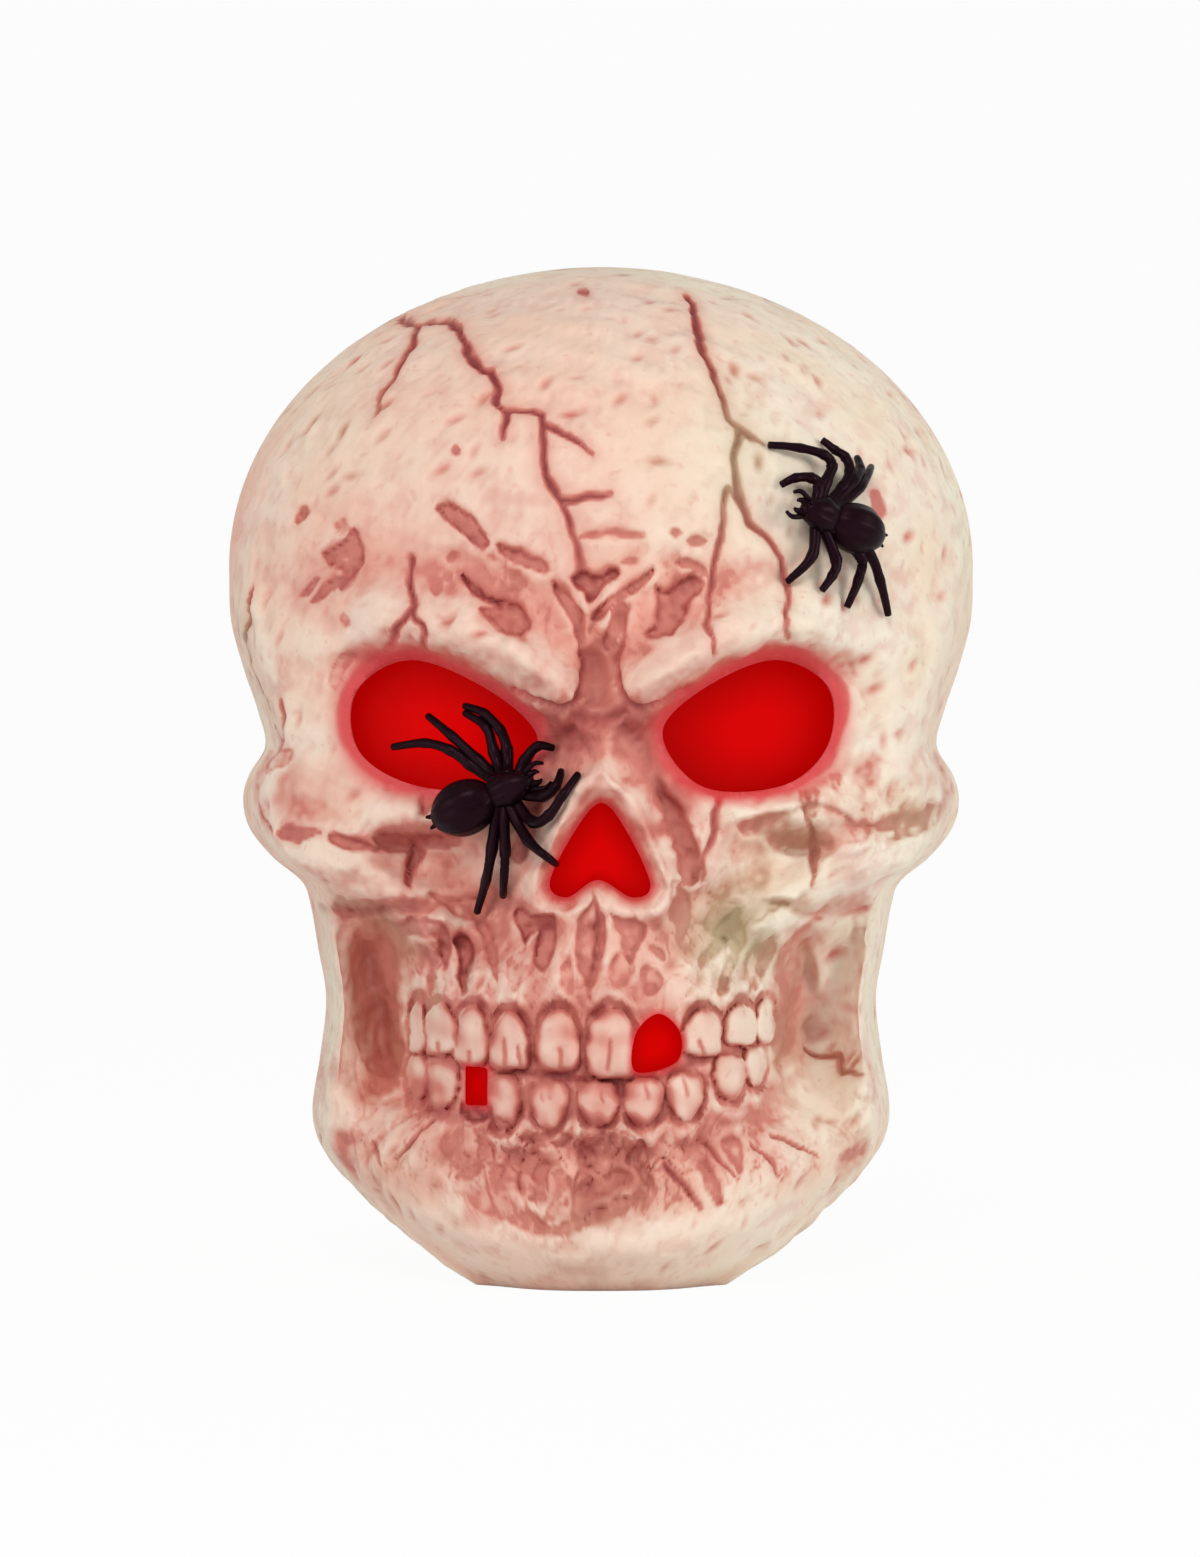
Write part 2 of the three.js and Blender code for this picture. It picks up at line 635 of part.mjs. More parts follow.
// Base screws: bosses stand behind the chin and in the nape
const baseBosses = [[14, -63], [-14, -63], [12.6, 26], [-12.6, 26]];
const baseBossTop = 17;

const postBores = shellPosts.map(([x, z]) => {
  const counterbore = bar(screwHead + 0.6, [x, screwSeatY, z], [x, backReach + 20, z], 14);
  return counterbore.add(bar(screwShank + seatGap, [x, -1, z], [x, screwSeatY + 1, z], 10));
});
const facePilots = shellPosts.map(([x, z]) => {
  return bar(pilotRadius, [x, -shellScrewLength + screwSeatY - 1.5, z], [x, 1, z], 10);
});
// A rib ties each boss and post to the side wall
function wallRib(x, z, yFront, yBack) {
  const far = Math.sign(x) * (domeHalfWidth + 10);
  return block([Math.min(x, far), yFront, z - wall / 2], [Math.max(x, far), yBack, z + wall / 2]);
}

const faceBosses = shellPosts.map(([x, z]) => {
  return bar(bossRadius, [x, -faceBossDepth, z], [x, 1, z], 14).add(wallRib(x, z, -faceBossDepth, 1));
});
const farBack = backReach + 20;
const rearPosts = shellPosts.map(([x, z]) => {
  return bar(postRadius, [x, -1, z], [x, farBack, z], 14).add(wallRib(x, z, -1, farBack));
});

function baseBoss([x, y]) {
  const farY = y < 0 ? -100 : 70;
  const low = [x - bossRadius, Math.min(y - Math.sign(y) * bossRadius, farY), plateThickness];
  const high = [x + bossRadius, Math.max(y - Math.sign(y) * bossRadius, farY), baseBossTop];
  return block(low, high);
}

// The plate fills the open foot of the skull, a little squarer than an ellipse
const plateHalfWidth = frontWidth(0) - wall - clearance;
const plateFront = faceReach(0, 0) - wall - clearance;
const plateRear = rearReach(0) - wall - clearance;
const platePower = 2.7;
const plateOutline = [];
for (let j = 0; j < 40; j += 1) {
  const angle = (2 * Math.PI * j) / 40;
  const [across, along] = [Math.cos(angle), Math.sin(angle)];
  const power = along < 0 ? platePower : 2;
  const reach = along < 0 ? plateFront : plateRear;
  const x = plateHalfWidth * Math.sign(across) * Math.abs(across) ** (2 / power);
  const y = reach * Math.sign(along) * Math.abs(along) ** (2 / power);
  plateOutline.push([x, y]);
}

function plateAlongZ(outline, low, high) {
  const shape = new THREE.Shape(outline.map(([x, y]) => new THREE.Vector2(x, y)));
  const geometry = new THREE.ExtrudeGeometry(shape, { depth: high - low, bevelEnabled: false });
  geometry.translate(0, 0, low);
  return solidOf(geometry);
}

const footOpening = plateAlongZ(grown(plateOutline, clearance), -1, plateThickness);
const basePilots = baseBosses.map(([x, y]) => bar(pilotRadius, [x, y, 1], [x, y, baseBossTop - 2], 10));

const outerFace = halfSolid(
  rowHeights(frontRowStep, 0, skullHeight),
  frontColumns,
  (z, angle) => facePoint(z, angle, 0, faceReach),
  skullHeight,
  0,
  true,
);
const innerFace = halfSolid(
  rowHeights(innerRowStep, -1, skullHeight - wall),
  innerColumns,
  (z, angle) => facePoint(z, angle, wall, innerReach),
  skullHeight - wall,
  1,
  true,
);
const faceFittings = union([
  ...faceBosses,
  ...baseBosses.slice(0, 2).map(baseBoss),
  ...windows.map((pane) => pane.seatSolid),
  ...spiders.map((spider) => spider.boss),
]);
const faceCuts = union([
  footOpening,
  ...facePilots,
  ...basePilots.slice(0, 2),
  ...windows.flatMap((pane) => [pane.pocket, pane.opening]),
  ...spiders.flatMap((spider) => [spider.hole, spider.pocket]),
]);
addPart("face_shell", outerFace.subtract(innerFace.subtract(faceFittings)).subtract(faceCuts), "bone");

const outerBack = halfSolid(
  rowHeights(backRowStep, 0, skullHeight),
  backColumns,
  (z, angle) => rearPoint(z, angle, 0),
  skullHeight,
  0,
  false,
);
const innerBack = halfSolid(
  rowHeights(rearInnerRowStep, -1, skullHeight - wall),
  rearInnerColumns,
  (z, angle) => rearPoint(z, angle, wall),
  skullHeight - wall,
  -1,
  false,
);
const backFittings = union([...rearPosts, ...baseBosses.slice(2).map(baseBoss)]);
const backCuts = union([footOpening, ...postBores, ...basePilots.slice(2)]);
addPart("back_shell", outerBack.subtract(innerBack.subtract(backFittings)).subtract(backCuts), "bone");

for (const pane of windows) addPart(pane.name, pane.solid, "redWindow");
for (const spider of spiders) {
  addPart(spider.name, spider.solid, "spider");
  addPart(`${spider.name}_nut`, spider.nut, "steel");
}

// A screw with a pan head, from the underside of its head along a direction
function screw(from, direction, length) {
  const along = (distance) => from.map((value, i) => value + direction[i] * distance);
  const head = bar(screwHead, along(-screwHeadHeight), along(0.01), 14);
  const shank = bar(screwShank, along(-0.5), along(length), 10, screwShank * 0.8);
  const [a, b] = [[-2, -0.35], [2, 0.35]];
  const upright = direction[2] !== 0;
  const slotLow = upright ? [a[0], a[1], -0.5] : [a[0], -0.5, a[1]];
  const slotHigh = upright ? [b[0], b[1], 0.5] : [b[0], 0.5, b[1]];
  const top = along(-screwHeadHeight);
  const slot = block(slotLow.map((v, i) => v + top[i]), slotHigh.map((v, i) => v + top[i]));
  return head.add(shank).subtract(slot);
}

shellPosts.forEach(([x, z], i) => {
  addPart(`shell_screw_${i + 1}`, screw([x, screwSeatY + seatGap, z], [0, -1, 0], shellScrewLength), "steel");
});

// Base plate with the battery box, the switch slot and the spigot of the lamp post
const bayHalfWidth = 2 * batteryRadius + 1;
const bayFront = bayMiddleY - batteryLength / 2 - contactSpace;
const bayRear = bayMiddleY + batteryLength / 2 + contactSpace;
const doorTop = doorLift + doorThickness;
const cellHeight = doorTop + 0.4 + batteryRadius;
const bayRoof = cellHeight + batteryRadius + 0.4;
const boxTop = bayRoof + bayWall;
const tabRear = bayRear + 8.6;
const doorScrewY = bayRear + 5;
const tabHalfWidth = 5;
const hingeY = bayFront + 1.5;
const hingeZ = doorLift + doorThickness / 2;

const leadHoles = [-1, 1].map((side) => {
  const x = side * (batteryRadius + 0.5);
  return bar(1.6, [x, bayRear - 1, cellHeight + 3.5], [x, bayRear + bayWall + 1, cellHeight + 3.5], 12);
});
const baseSolid = union([
  plateAlongZ(plateOutline, 0, plateThickness),
  block(
    [-bayHalfWidth - bayWall, bayFront - bayWall, plateThickness - 1],
    [bayHalfWidth + bayWall, bayRear + bayWall, boxTop],
  ),
  bar(bossRadius, [0, doorScrewY, plateThickness - 1], [0, doorScrewY, 12], 14),
  block([-2.7, bayMiddleY - 2.7, boxTop - 1], [2.7, bayMiddleY + 2.7, boxTop + 10]),
]);
const baseCuts = union([
  block([-bayHalfWidth, bayFront, -1], [bayHalfWidth, bayRear, bayRoof]),
  block([-tabHalfWidth - seatGap, bayRear - 1, -1], [tabHalfWidth + seatGap, tabRear + seatGap, doorTop]),
  bar(pilotRadius, [0, doorScrewY, 0], [0, doorScrewY, 10.5], 10),
  bar(hingePin + seatGap, [-bayHalfWidth - 2, hingeY, hingeZ], [bayHalfWidth + 2, hingeY, hingeZ], 12),
  block([-4, switchMiddleY - 1.9, -1], [4, switchMiddleY + 1.9, plateThickness + 1]),
  ...baseBosses.map(([x, y]) => bar(screwShank + seatGap, [x, y, -1], [x, y, plateThickness + 1], 10)),
  ...baseBosses.map(([x, y]) => bar(screwHead + seatGap, [x, y, -1], [x, y, 1.6], 14)),
  ...leadHoles,
]);
addPart("base_plate", baseSolid.subtract(baseCuts), "base");

baseBosses.forEach(([x, y], i) => {
  const head = bar(screwHead, [x, y, 0.2], [x, y, 1.3], 14);
  const shank = bar(screwShank, [x, y, 1], [x, y, 13], 10, screwShank * 0.8);
  const slot = block([x - 2, y - 0.35, -0.5], [x + 2, y + 0.35, 0.7]);
  addPart(`base_screw_${i + 1}`, head.add(shank).subtract(slot), "steel");
});

// Battery door: hinged on two stub pins at the front, held by one screw at the back
const doorHalfWidth = bayHalfWidth - seatGap;
const doorSolid = union([
  block([-doorHalfWidth, hingeY, doorLift], [doorHalfWidth, bayRear - seatGap, doorTop]),
  bar(doorThickness / 2, [-doorHalfWidth, hingeY, hingeZ], [doorHalfWidth, hingeY, hingeZ], 16),
  bar(hingePin, [-bayHalfWidth - 1.4, hingeY, hingeZ], [bayHalfWidth + 1.4, hingeY, hingeZ], 10),
  block([-tabHalfWidth, bayRear - 1, doorLift], [tabHalfWidth, tabRear, doorTop - 0.2]),
]);
const doorCuts = union([
  bar(screwShank + seatGap, [0, doorScrewY, -1], [0, doorScrewY, 4], 10),
  bar(screwHead + seatGap, [0, doorScrewY, -1], [0, doorScrewY, 1.4], 14),
  ...[-8, -4, 0, 4, 8].map((x) => block([x - 0.8, hingeY + 6, -1], [x + 0.8, hingeY + 16, 0.7])),
]);
addPart("battery_door", doorSolid.subtract(doorCuts), "base");
const doorScrewHead = bar(screwHead, [0, doorScrewY, 0.15], [0, doorScrewY, 1.2], 14);
const doorScrewShank = bar(screwShank, [0, doorScrewY, 1], [0, doorScrewY, 9], 10, screwShank * 0.8);
const doorScrewSlot = block([-2, doorScrewY - 0.35, -0.5], [2, doorScrewY + 0.35, 0.6]);
addPart("battery_door_screw", doorScrewHead.add(doorScrewShank).subtract(doorScrewSlot), "steel");

// Two AA cells lie side by side, opposite ways round, with springs and contact plates
const cellX = batteryRadius + 0.4;
const plateGap = 0.3;
const contactThickness = 0.4;
const cellFront = bayMiddleY - batteryLength / 2;
const cellRear = bayMiddleY + batteryLength / 2;
[["left", -1], ["right", 1]].forEach(([name, side]) => {
  const x = side * cellX;
  const nubEnd = side < 0 ? cellRear : cellFront;
  const canFrom = side < 0 ? cellFront : cellFront + 1.5;
  const can = bar(batteryRadius, [x, canFrom, cellHeight], [x, canFrom + batteryLength - 1.5, cellHeight], 20);
  const nub = bar(2.7, [x, bayMiddleY, cellHeight], [x, nubEnd, cellHeight], 14);
  addPart(`battery_${name}`, can.add(nub), "cell");
  const springEnd = side < 0 ? bayFront + plateGap + contactThickness + 0.7 : bayRear - plateGap - contactThickness - 0.7;
  const springTip = side < 0 ? cellFront - 0.7 : cellRear - 0.7 + 1.4;
  const coil = [];
  for (let i = 0; i <= 20; i += 1) {
    const angle = (2 * Math.PI * i) / 10;
    const y = mix(springEnd, springTip, i / 20);
    const radius = mix(4.6, 3, i / 20);
    coil.push([x + radius * Math.cos(angle), y, cellHeight + radius * Math.sin(angle)]);
  }
  addPart(`battery_spring_${name}`, tube(0.35, coil, 32, 4), "steel");
});
const contactLow = cellHeight - 5.5;
const contactHigh = cellHeight + 5.5;
addPart(
  "contact_bridge",
  block(
    [-cellX - 5.5, bayFront + plateGap, contactLow],
    [cellX + 5.5, bayFront + plateGap + contactThickness, contactHigh],
  ),
  "steel",
);
[["left", -1], ["right", 1]].forEach(([name, side]) => {
  const low = [side * cellX - 5.5, bayRear - plateGap - contactThickness, contactLow];
  const high = [side * cellX + 5.5, bayRear - plateGap, contactHigh];
  addPart(`contact_${name}`, block(low, high), "steel");
});

// Slide switch over the slot in the plate
const switchBottom = plateThickness;
const switchTop = switchBottom + 6;
const switchCase = block([-7.5, switchMiddleY - 4, switchBottom], [7.5, switchMiddleY + 4, switchTop]);
const switchWell = block([-5.4, switchMiddleY - 2.4, switchBottom - 1], [5.4, switchMiddleY + 2.4, switchBottom + 3]);
addPart("switch_body", switchCase.subtract(switchWell), "base");
const sliderX = -switchTravel / 2;
const sliderShoe = block(
  [sliderX - 3, switchMiddleY - 2.1, switchBottom + 0.3],
  [sliderX + 3, switchMiddleY + 2.1, switchBottom + 2.7],
);
const sliderKnob = block([sliderX - 1.6, switchMiddleY - 1.6, 0.4], [sliderX + 1.6, switchMiddleY + 1.6, switchBottom + 1]);
const sliderGrips = [-0.9, 0, 0.9].map((x) => {
  return block([sliderX + x - 0.2, switchMiddleY - 2, 0], [sliderX + x + 0.2, switchMiddleY + 2, 0.8]);
});
addPart("switch_slider", sliderShoe.add(sliderKnob).subtract(union(sliderGrips)), "spider");

// Lamp post on its spigot, with the lamp board on its front
const postFront = bayMiddleY - postSide / 2;
const postRear = bayMiddleY + postSide / 2;
const postBlock = block([-postSide / 2, postFront, boxTop], [postSide / 2, postRear, postTop]);
const postSocket = block([-3, bayMiddleY - 3, boxTop - 1], [3, bayMiddleY + 3, boxTop + 10.5]);
const boardScrews = [postTop - 5, postTop - 19];
const postPilots = boardScrews.map((z) => bar(1.2, [0, postFront - 1, z], [0, postFront + 8, z], 10));
addPart("lamp_post", postBlock.subtract(union([postSocket, ...postPilots])), "base");

const boardFront = postFront - boardThickness;
const boardBottom = postTop - boardHeight + 1;
const boardBlock = block(
  [-boardWidth / 2, boardFront, boardBottom],
  [boardWidth / 2, postFront, boardBottom + boardHeight],
);
const boardHoles = boardScrews.map((z) => bar(1.3, [0, boardFront - 1, z], [0, postFront + 1, z], 10));
const padX = boardWidth / 2 - 3;
addPart("lamp_board", boardBlock.subtract(union(boardHoles)), "board");
boardScrews.forEach((z, i) => {
  const head = bar(2.2, [0, boardFront - 1.5, z], [0, boardFront - 0.2, z], 14);
  const shank = bar(0.9, [0, boardFront - 0.5, z], [0, postFront + 7, z], 10);
  const slot = block([-1.7, boardFront - 2, z - 0.3], [1.7, boardFront - 1, z + 0.3]);
  addPart(`board_screw_${i + 1}`, head.add(shank).subtract(slot), "steel");
});

const leds = [["left", -11, 100], ["middle", 0, 92.2], ["right", 11, 100]];
leds.forEach(([name, x, z]) => {
  const tip = boardFront - ledLength + ledRadius;
  const flange = bar(ledRadius + 0.5, [x, boardFront - 1, z], [x, boardFront, z], 14);
  const body = bar(ledRadius, [x, tip, z], [x, boardFront - 0.5, z], 14);
  const dome = ellipsoid([ledRadius, ledRadius, ledRadius], 0, [x, tip, z], 10);
  addPart(`led_${name}`, union([flange, body, dome]), "led");
});
addPart(
  "resistor",
  union([
    bar(1.1, [-12, boardFront - 1.5, 84], [-6, boardFront - 1.5, 84], 12),
    bar(0.3, [-13.4, boardFront - 1.5, 84], [-4.6, boardFront - 1.5, 84], 8),
  ]),
  "blackLead",
);

// Leads: cell to switch, switch to board, and board back to the other cell
const leadRadius = 0.8;
const leadStartY = bayRear - plateGap + seatGap + 0.2;
const leadStartZ = cellHeight + 3.5;
const leadX = batteryRadius + 0.5;
const behindBoard = postFront + 1.3;
addPart(
  "lead_cell_to_switch",
  tube(leadRadius, [
    [-leadX, leadStartY, leadStartZ],
    [-leadX, bayRear + 5, leadStartZ],
    [-leadX - 0.6, switchMiddleY - 9, leadStartZ - 1],
    [-leadX + 1.6, switchMiddleY - 3, switchTop + 5],
    [-3.5, switchMiddleY, switchTop + 5],
    [-3.5, switchMiddleY, switchTop + 0.5],
  ], 16),
  "redLead",
);
addPart(
  "lead_switch_to_board",
  tube(leadRadius, [
    [3.5, switchMiddleY, switchTop + 0.5],
    [3.6, switchMiddleY - 1, switchTop + 8],
    [3, postRear + 9, boxTop + 14],
    [-padX + 6, postRear + 3, 60],
    [-padX, behindBoard + 4, boardBottom - 2],
    [-padX, behindBoard, boardBottom + 3],
  ], 22),
  "redLead",
);
addPart(
  "lead_return",
  tube(leadRadius, [
    [leadX, leadStartY, leadStartZ],
    [leadX, bayRear + 4.5, leadStartZ + 0.5],
    [leadX + 1.5, bayRear + 4, boxTop + 6],
    [padX - 4, postRear + 3, 56],
    [padX, behindBoard + 4, boardBottom - 2],
    [padX, behindBoard, boardBottom + 3],
  ], 22),
  "blackLead",
);

export default group;
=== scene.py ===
import json
import math

import bmesh
import bpy
import numpy as np
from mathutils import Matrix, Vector
from mathutils.bvhtree import BVHTree


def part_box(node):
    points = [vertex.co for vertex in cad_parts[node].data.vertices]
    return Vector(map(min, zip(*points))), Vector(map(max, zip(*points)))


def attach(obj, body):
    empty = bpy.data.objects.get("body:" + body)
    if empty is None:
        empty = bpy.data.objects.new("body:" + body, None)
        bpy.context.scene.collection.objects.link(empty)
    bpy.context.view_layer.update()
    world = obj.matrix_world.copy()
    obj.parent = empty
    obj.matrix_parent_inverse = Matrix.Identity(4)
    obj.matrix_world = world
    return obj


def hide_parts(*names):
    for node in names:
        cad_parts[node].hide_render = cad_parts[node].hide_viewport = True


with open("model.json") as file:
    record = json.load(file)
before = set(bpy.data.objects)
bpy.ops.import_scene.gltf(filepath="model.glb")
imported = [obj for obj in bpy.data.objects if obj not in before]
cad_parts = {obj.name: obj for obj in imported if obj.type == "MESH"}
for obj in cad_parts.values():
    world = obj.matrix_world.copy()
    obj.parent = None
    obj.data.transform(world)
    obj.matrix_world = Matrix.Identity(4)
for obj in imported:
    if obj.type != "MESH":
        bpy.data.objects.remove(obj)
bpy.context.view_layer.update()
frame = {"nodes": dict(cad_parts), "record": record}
scene = bpy.context.scene
mm = 0.001
print("frame loaded with", len(frame["nodes"]), "nodes")


# camera square to the face, level with the middle of the picture
shot = {
    "distance": 1200.0, "scale": 0.2075, "size": (1200, 1557), "axis": (601.0, 779.0), "height": 99.2,
    "sensor": 36.0,
}

cameraData = bpy.data.cameras.new("frontCamera")
cameraData.sensor_fit = "HORIZONTAL"
cameraData.sensor_width = shot["sensor"]
cameraData.lens = shot["sensor"] * shot["distance"] / (shot["size"][0] * shot["scale"])
camera = bpy.data.objects.new("frontCamera", cameraData)
scene.collection.objects.link(camera)
offX = (shot["size"][0] / 2 - shot["axis"][0]) * shot["scale"]
offZ = shot["height"] + (shot["axis"][1] - shot["size"][1] / 2) * shot["scale"]
camera.location = (offX * mm, -shot["distance"] * mm, offZ * mm)
camera.rotation_euler = (math.radians(90), 0, 0)
scene.camera = camera


def seenAt(x, y, z):  # millimetres to the picture's own pixels
    scale = shot["scale"] * (1 + y / shot["distance"])
    return shot["axis"][0] + x / scale, shot["axis"][1] - (z - shot["height"]) / scale


def fromPicture(u, v, y):  # picture pixels at a known depth to millimetres
    scale = shot["scale"] * (1 + y / shot["distance"])
    return (u - shot["axis"][0]) * scale, y, shot["height"] + (shot["axis"][1] - v) * scale


# helpers for shapes that are given by a few points
def smoothStep(low, high, value):
    t = np.clip((value - low) / (high - low), 0, 1)
    return t * t * (3 - 2 * t)


def smoothMax(a, b, soft):
    share = np.clip(0.5 + 0.5 * (a - b) / soft, 0, 1)
    return b + (a - b) * share + soft * share * (1 - share)


def heightCurve(points):
    zs = np.array([p[0] for p in points], float)
    vs = np.array([p[1] for p in points], float)
    before = np.maximum(np.arange(len(zs)) - 1, 0)
    after = np.minimum(np.arange(len(zs)) + 1, len(zs) - 1)
    slopes = (vs[after] - vs[before]) / (zs[after] - zs[before])

    def at(z):
        z = np.clip(z, zs[0], zs[-1])
        i = np.clip(np.searchsorted(zs, z, side="right") - 1, 0, len(zs) - 2)
        span = zs[i + 1] - zs[i]
        t = (z - zs[i]) / span
        fromA = (2 * t**3 - 3 * t**2 + 1) * vs[i] + (t**3 - 2 * t**2 + t) * slopes[i] * span
        return fromA + (3 * t**2 - 2 * t**3) * vs[i + 1] + (t**3 - t**2) * slopes[i + 1] * span

    return at


# distance to a polyline, along the skin if normals are given, and the share of its length there
def strokeDistance(points, *where, normal=None):
    pts = np.array(points, float)
    runs = np.diff(pts, axis=0)
    lengths = np.linalg.norm(runs, axis=1)
    starts = np.concatenate([[0], np.cumsum(lengths)])
    best = np.full(where[0].shape, 1e9)
    share = np.zeros(where[0].shape)
    for i, (run, length) in enumerate(zip(runs, lengths)):
        gaps = [w - p for w, p in zip(where, pts[i])]
        t = np.clip(sum(g * r for g, r in zip(gaps, run)) / length**2, 0, 1)
        rest = [g - t * r for g, r in zip(gaps, run)]
        square = sum(c**2 for c in rest)
        if normal is not None:
            square = square - 0.92 * sum(c * n for c, n in zip(rest, normal.T)) ** 2
        away = np.sqrt(np.maximum(square, 0))
        near = away < best
        best = np.where(near, away, best)
        share = np.where(near, (starts[i] + t * length) / starts[-1], share)
    return best, share


def through(pts, steps):  # smooth curve from the second point to the last but one, without its end
    out = []
    for p0, p1, p2, p3 in zip(pts, pts[1:], pts[2:], pts[3:]):
        for k in range(steps):
            t = k / steps
            a = 2 * p1 + (p2 - p0) * t + (2 * p0 - 5 * p1 + 4 * p2 - p3) * t**2
            out.append(0.5 * (a + (3 * p1 - p0 - 3 * p2 + p3) * t**3))
    return out


def closedCurve(points, steps):  # smooth closed outline through a few points
    pts = np.array(points, float)
    return np.array(through([pts[-1], *pts, pts[0], pts[1]], steps))


def outlineDistance(outline, x, z):  # negative inside, with the nearest point of the outline
    best = np.full(x.shape, 1e9)
    nearX = np.zeros(x.shape)
    nearZ = np.zeros(x.shape)
    inside = np.zeros(x.shape, bool)
    for (ax, az), (bx, bz) in zip(outline, np.roll(outline, -1, axis=0)):
        run = (bx - ax, bz - az)
        t = np.clip(((x - ax) * run[0] + (z - az) * run[1]) / (run[0] ** 2 + run[1] ** 2), 0, 1)
        px, pz = ax + t * run[0], az + t * run[1]
        away = np.hypot(x - px, z - pz)
        near = away < best
        best = np.where(near, away, best)
        nearX = np.where(near, px, nearX)
        nearZ = np.where(near, pz, nearZ)
        if bz != az:
            crosses = ((az > z) != (bz > z)) & (x < ax + (z - az) / (bz - az) * run[0])
            inside ^= crosses
    return np.where(inside, -best, best), nearX, nearZ


def blurred(grid, radius):  # soft average over the grid's neighbours, radius in cells
    out = grid
    reach = max(1, int(radius * 2.5))
    weights = np.exp(-0.5 * (np.arange(-reach, reach + 1) / radius) ** 2)
    weights /= weights.sum()
    for axis in (0, 1):
        sides = [(reach, reach) if a == axis else (0, 0) for a in (0, 1)]
        padded = np.pad(out, sides, mode="reflect", reflect_type="odd")
        size = out.shape[axis]
        out = sum(w * np.take(padded, range(k, k + size), axis=axis) for k, w in enumerate(weights))
    return out


def softNoise(u, v, cell, seed):  # smooth value noise, about -1 to 1
    side = 97  # cells before the noise repeats
    source = np.random.default_rng(seed).uniform(-1, 1, (side, side))
    a, b = u / cell, v / cell
    i, j = np.floor(a).astype(int), np.floor(b).astype(int)
    s, t = a - i, b - j
    s, t = s * s * (3 - 2 * s), t * t * (3 - 2 * t)

    def corner(di, dj):
        return source[(i + di) % side, (j + dj) % side]

    low = corner(0, 0) * (1 - s) + corner(1, 0) * s
    high = corner(0, 1) * (1 - s) + corner(1, 1) * s
    return low * (1 - t) + high * t


def waveNoise(u, v, size, seed):  # even noise with no grid direction, about -1.5 to 1.5
    source = np.random.default_rng(seed)
    total = np.zeros(u.shape)
    waves = 12
    for _ in range(waves):
        turn, phase = source.uniform(0, 2 * math.pi, 2)
        k = 2 * math.pi / size * source.uniform(0.6, 1.4)
        total += np.cos(k * (u * math.cos(turn) + v * math.sin(turn)) + phase)
    return total / math.sqrt(waves / 2)


def bodyNoise(x, y, z, size, seed):  # the same even noise carried round the whole head
    source = np.random.default_rng(seed)
    total = np.zeros(x.shape)
    waves = 14
    for _ in range(waves):
        way = source.normal(size=3)
        way *= 2 * math.pi / size * source.uniform(0.6, 1.4) / np.linalg.norm(way)
        total += np.cos(x * way[0] + y * way[1] + z * way[2] + source.uniform(0, 2 * math.pi))
    return total / math.sqrt(waves / 2)


def gridNormals(x, y, z):  # outward directions of a grid of points, and the area about each
    across = np.stack([np.gradient(c, axis=1) for c in (x, y, z)], axis=-1)
    up = np.stack([np.gradient(c, axis=0) for c in (x, y, z)], axis=-1)
    normal = np.cross(across, up)
    area = np.linalg.norm(normal, axis=-1)
    return normal / np.maximum(area, 1e-9)[..., None], area


# skull: sizes shared with the solid, in millimetres
skull = {
    "height": 205.0, "domeCentre": 143.0, "domeHalfWidth": 77.0, "foreheadReach": 83.0,
    "rearDomeReach": 90.8, "columns": 288, "domeRows": 64, "rearColumns": 190, "rearRows": 200,
    "faceBands": [(0, 22, 0.92), (22, 62, 0.58), (62, 128, 0.62), (128, 175, 0.72)],  # from, to, row step
    "rim": 4.0, "edgeCatch": 0.43, "facePits": 1900, "rearPits": 1700, "footLift": 4,
    "halfWidth": [(0, 27), (5, 36), (10, 43), (15, 49), (20, 54.5), (26, 58.6), (32, 59.6), (42, 58.2),
        (54, 57), (64, 58.6), (74, 60.4), (78, 62), (83, 68), (89, 72.8), (95, 74.2), (100, 73),
        (106, 69.6), (113, 71), (122, 74), (132, 76.6), (143, 77)],
    "rearHalfWidth": [(0, 28), (25, 31), (50, 35), (70, 41), (84, 51), (96, 60), (108, 67), (124, 73.5),
        (143, 77)],
    "plainReach": [(0, 79), (5, 85), (11, 88), (19, 86), (27, 82), (33, 74), (40, 52), (48, 44), (66, 46),
        (80, 50), (94, 55), (104, 60), (112, 66), (120, 74), (130, 81), (143, 83)],
    "rearReach": [(0, 40), (30, 40), (58, 42), (72, 47), (84, 58), (96, 72), (110, 85), (126, 91.8),
        (143, 90.8)],
    "planPower": [(0, 3), (12, 2.8), (30, 2.3), (60, 2), (205, 2)],
    "footHalfWidth": 24.6, "footFront": (77.0, 2.7), "footRear": (37.6, 2.0),  # the base plate: reach, power
}
halfWidthAt = heightCurve(skull["halfWidth"])
rearHalfWidthAt = heightCurve(skull["rearHalfWidth"])
plainReachAt = heightCurve(skull["plainReach"])
rearReachAt = heightCurve(skull["rearReach"])
planPowerAt = heightCurve(skull["planPower"])

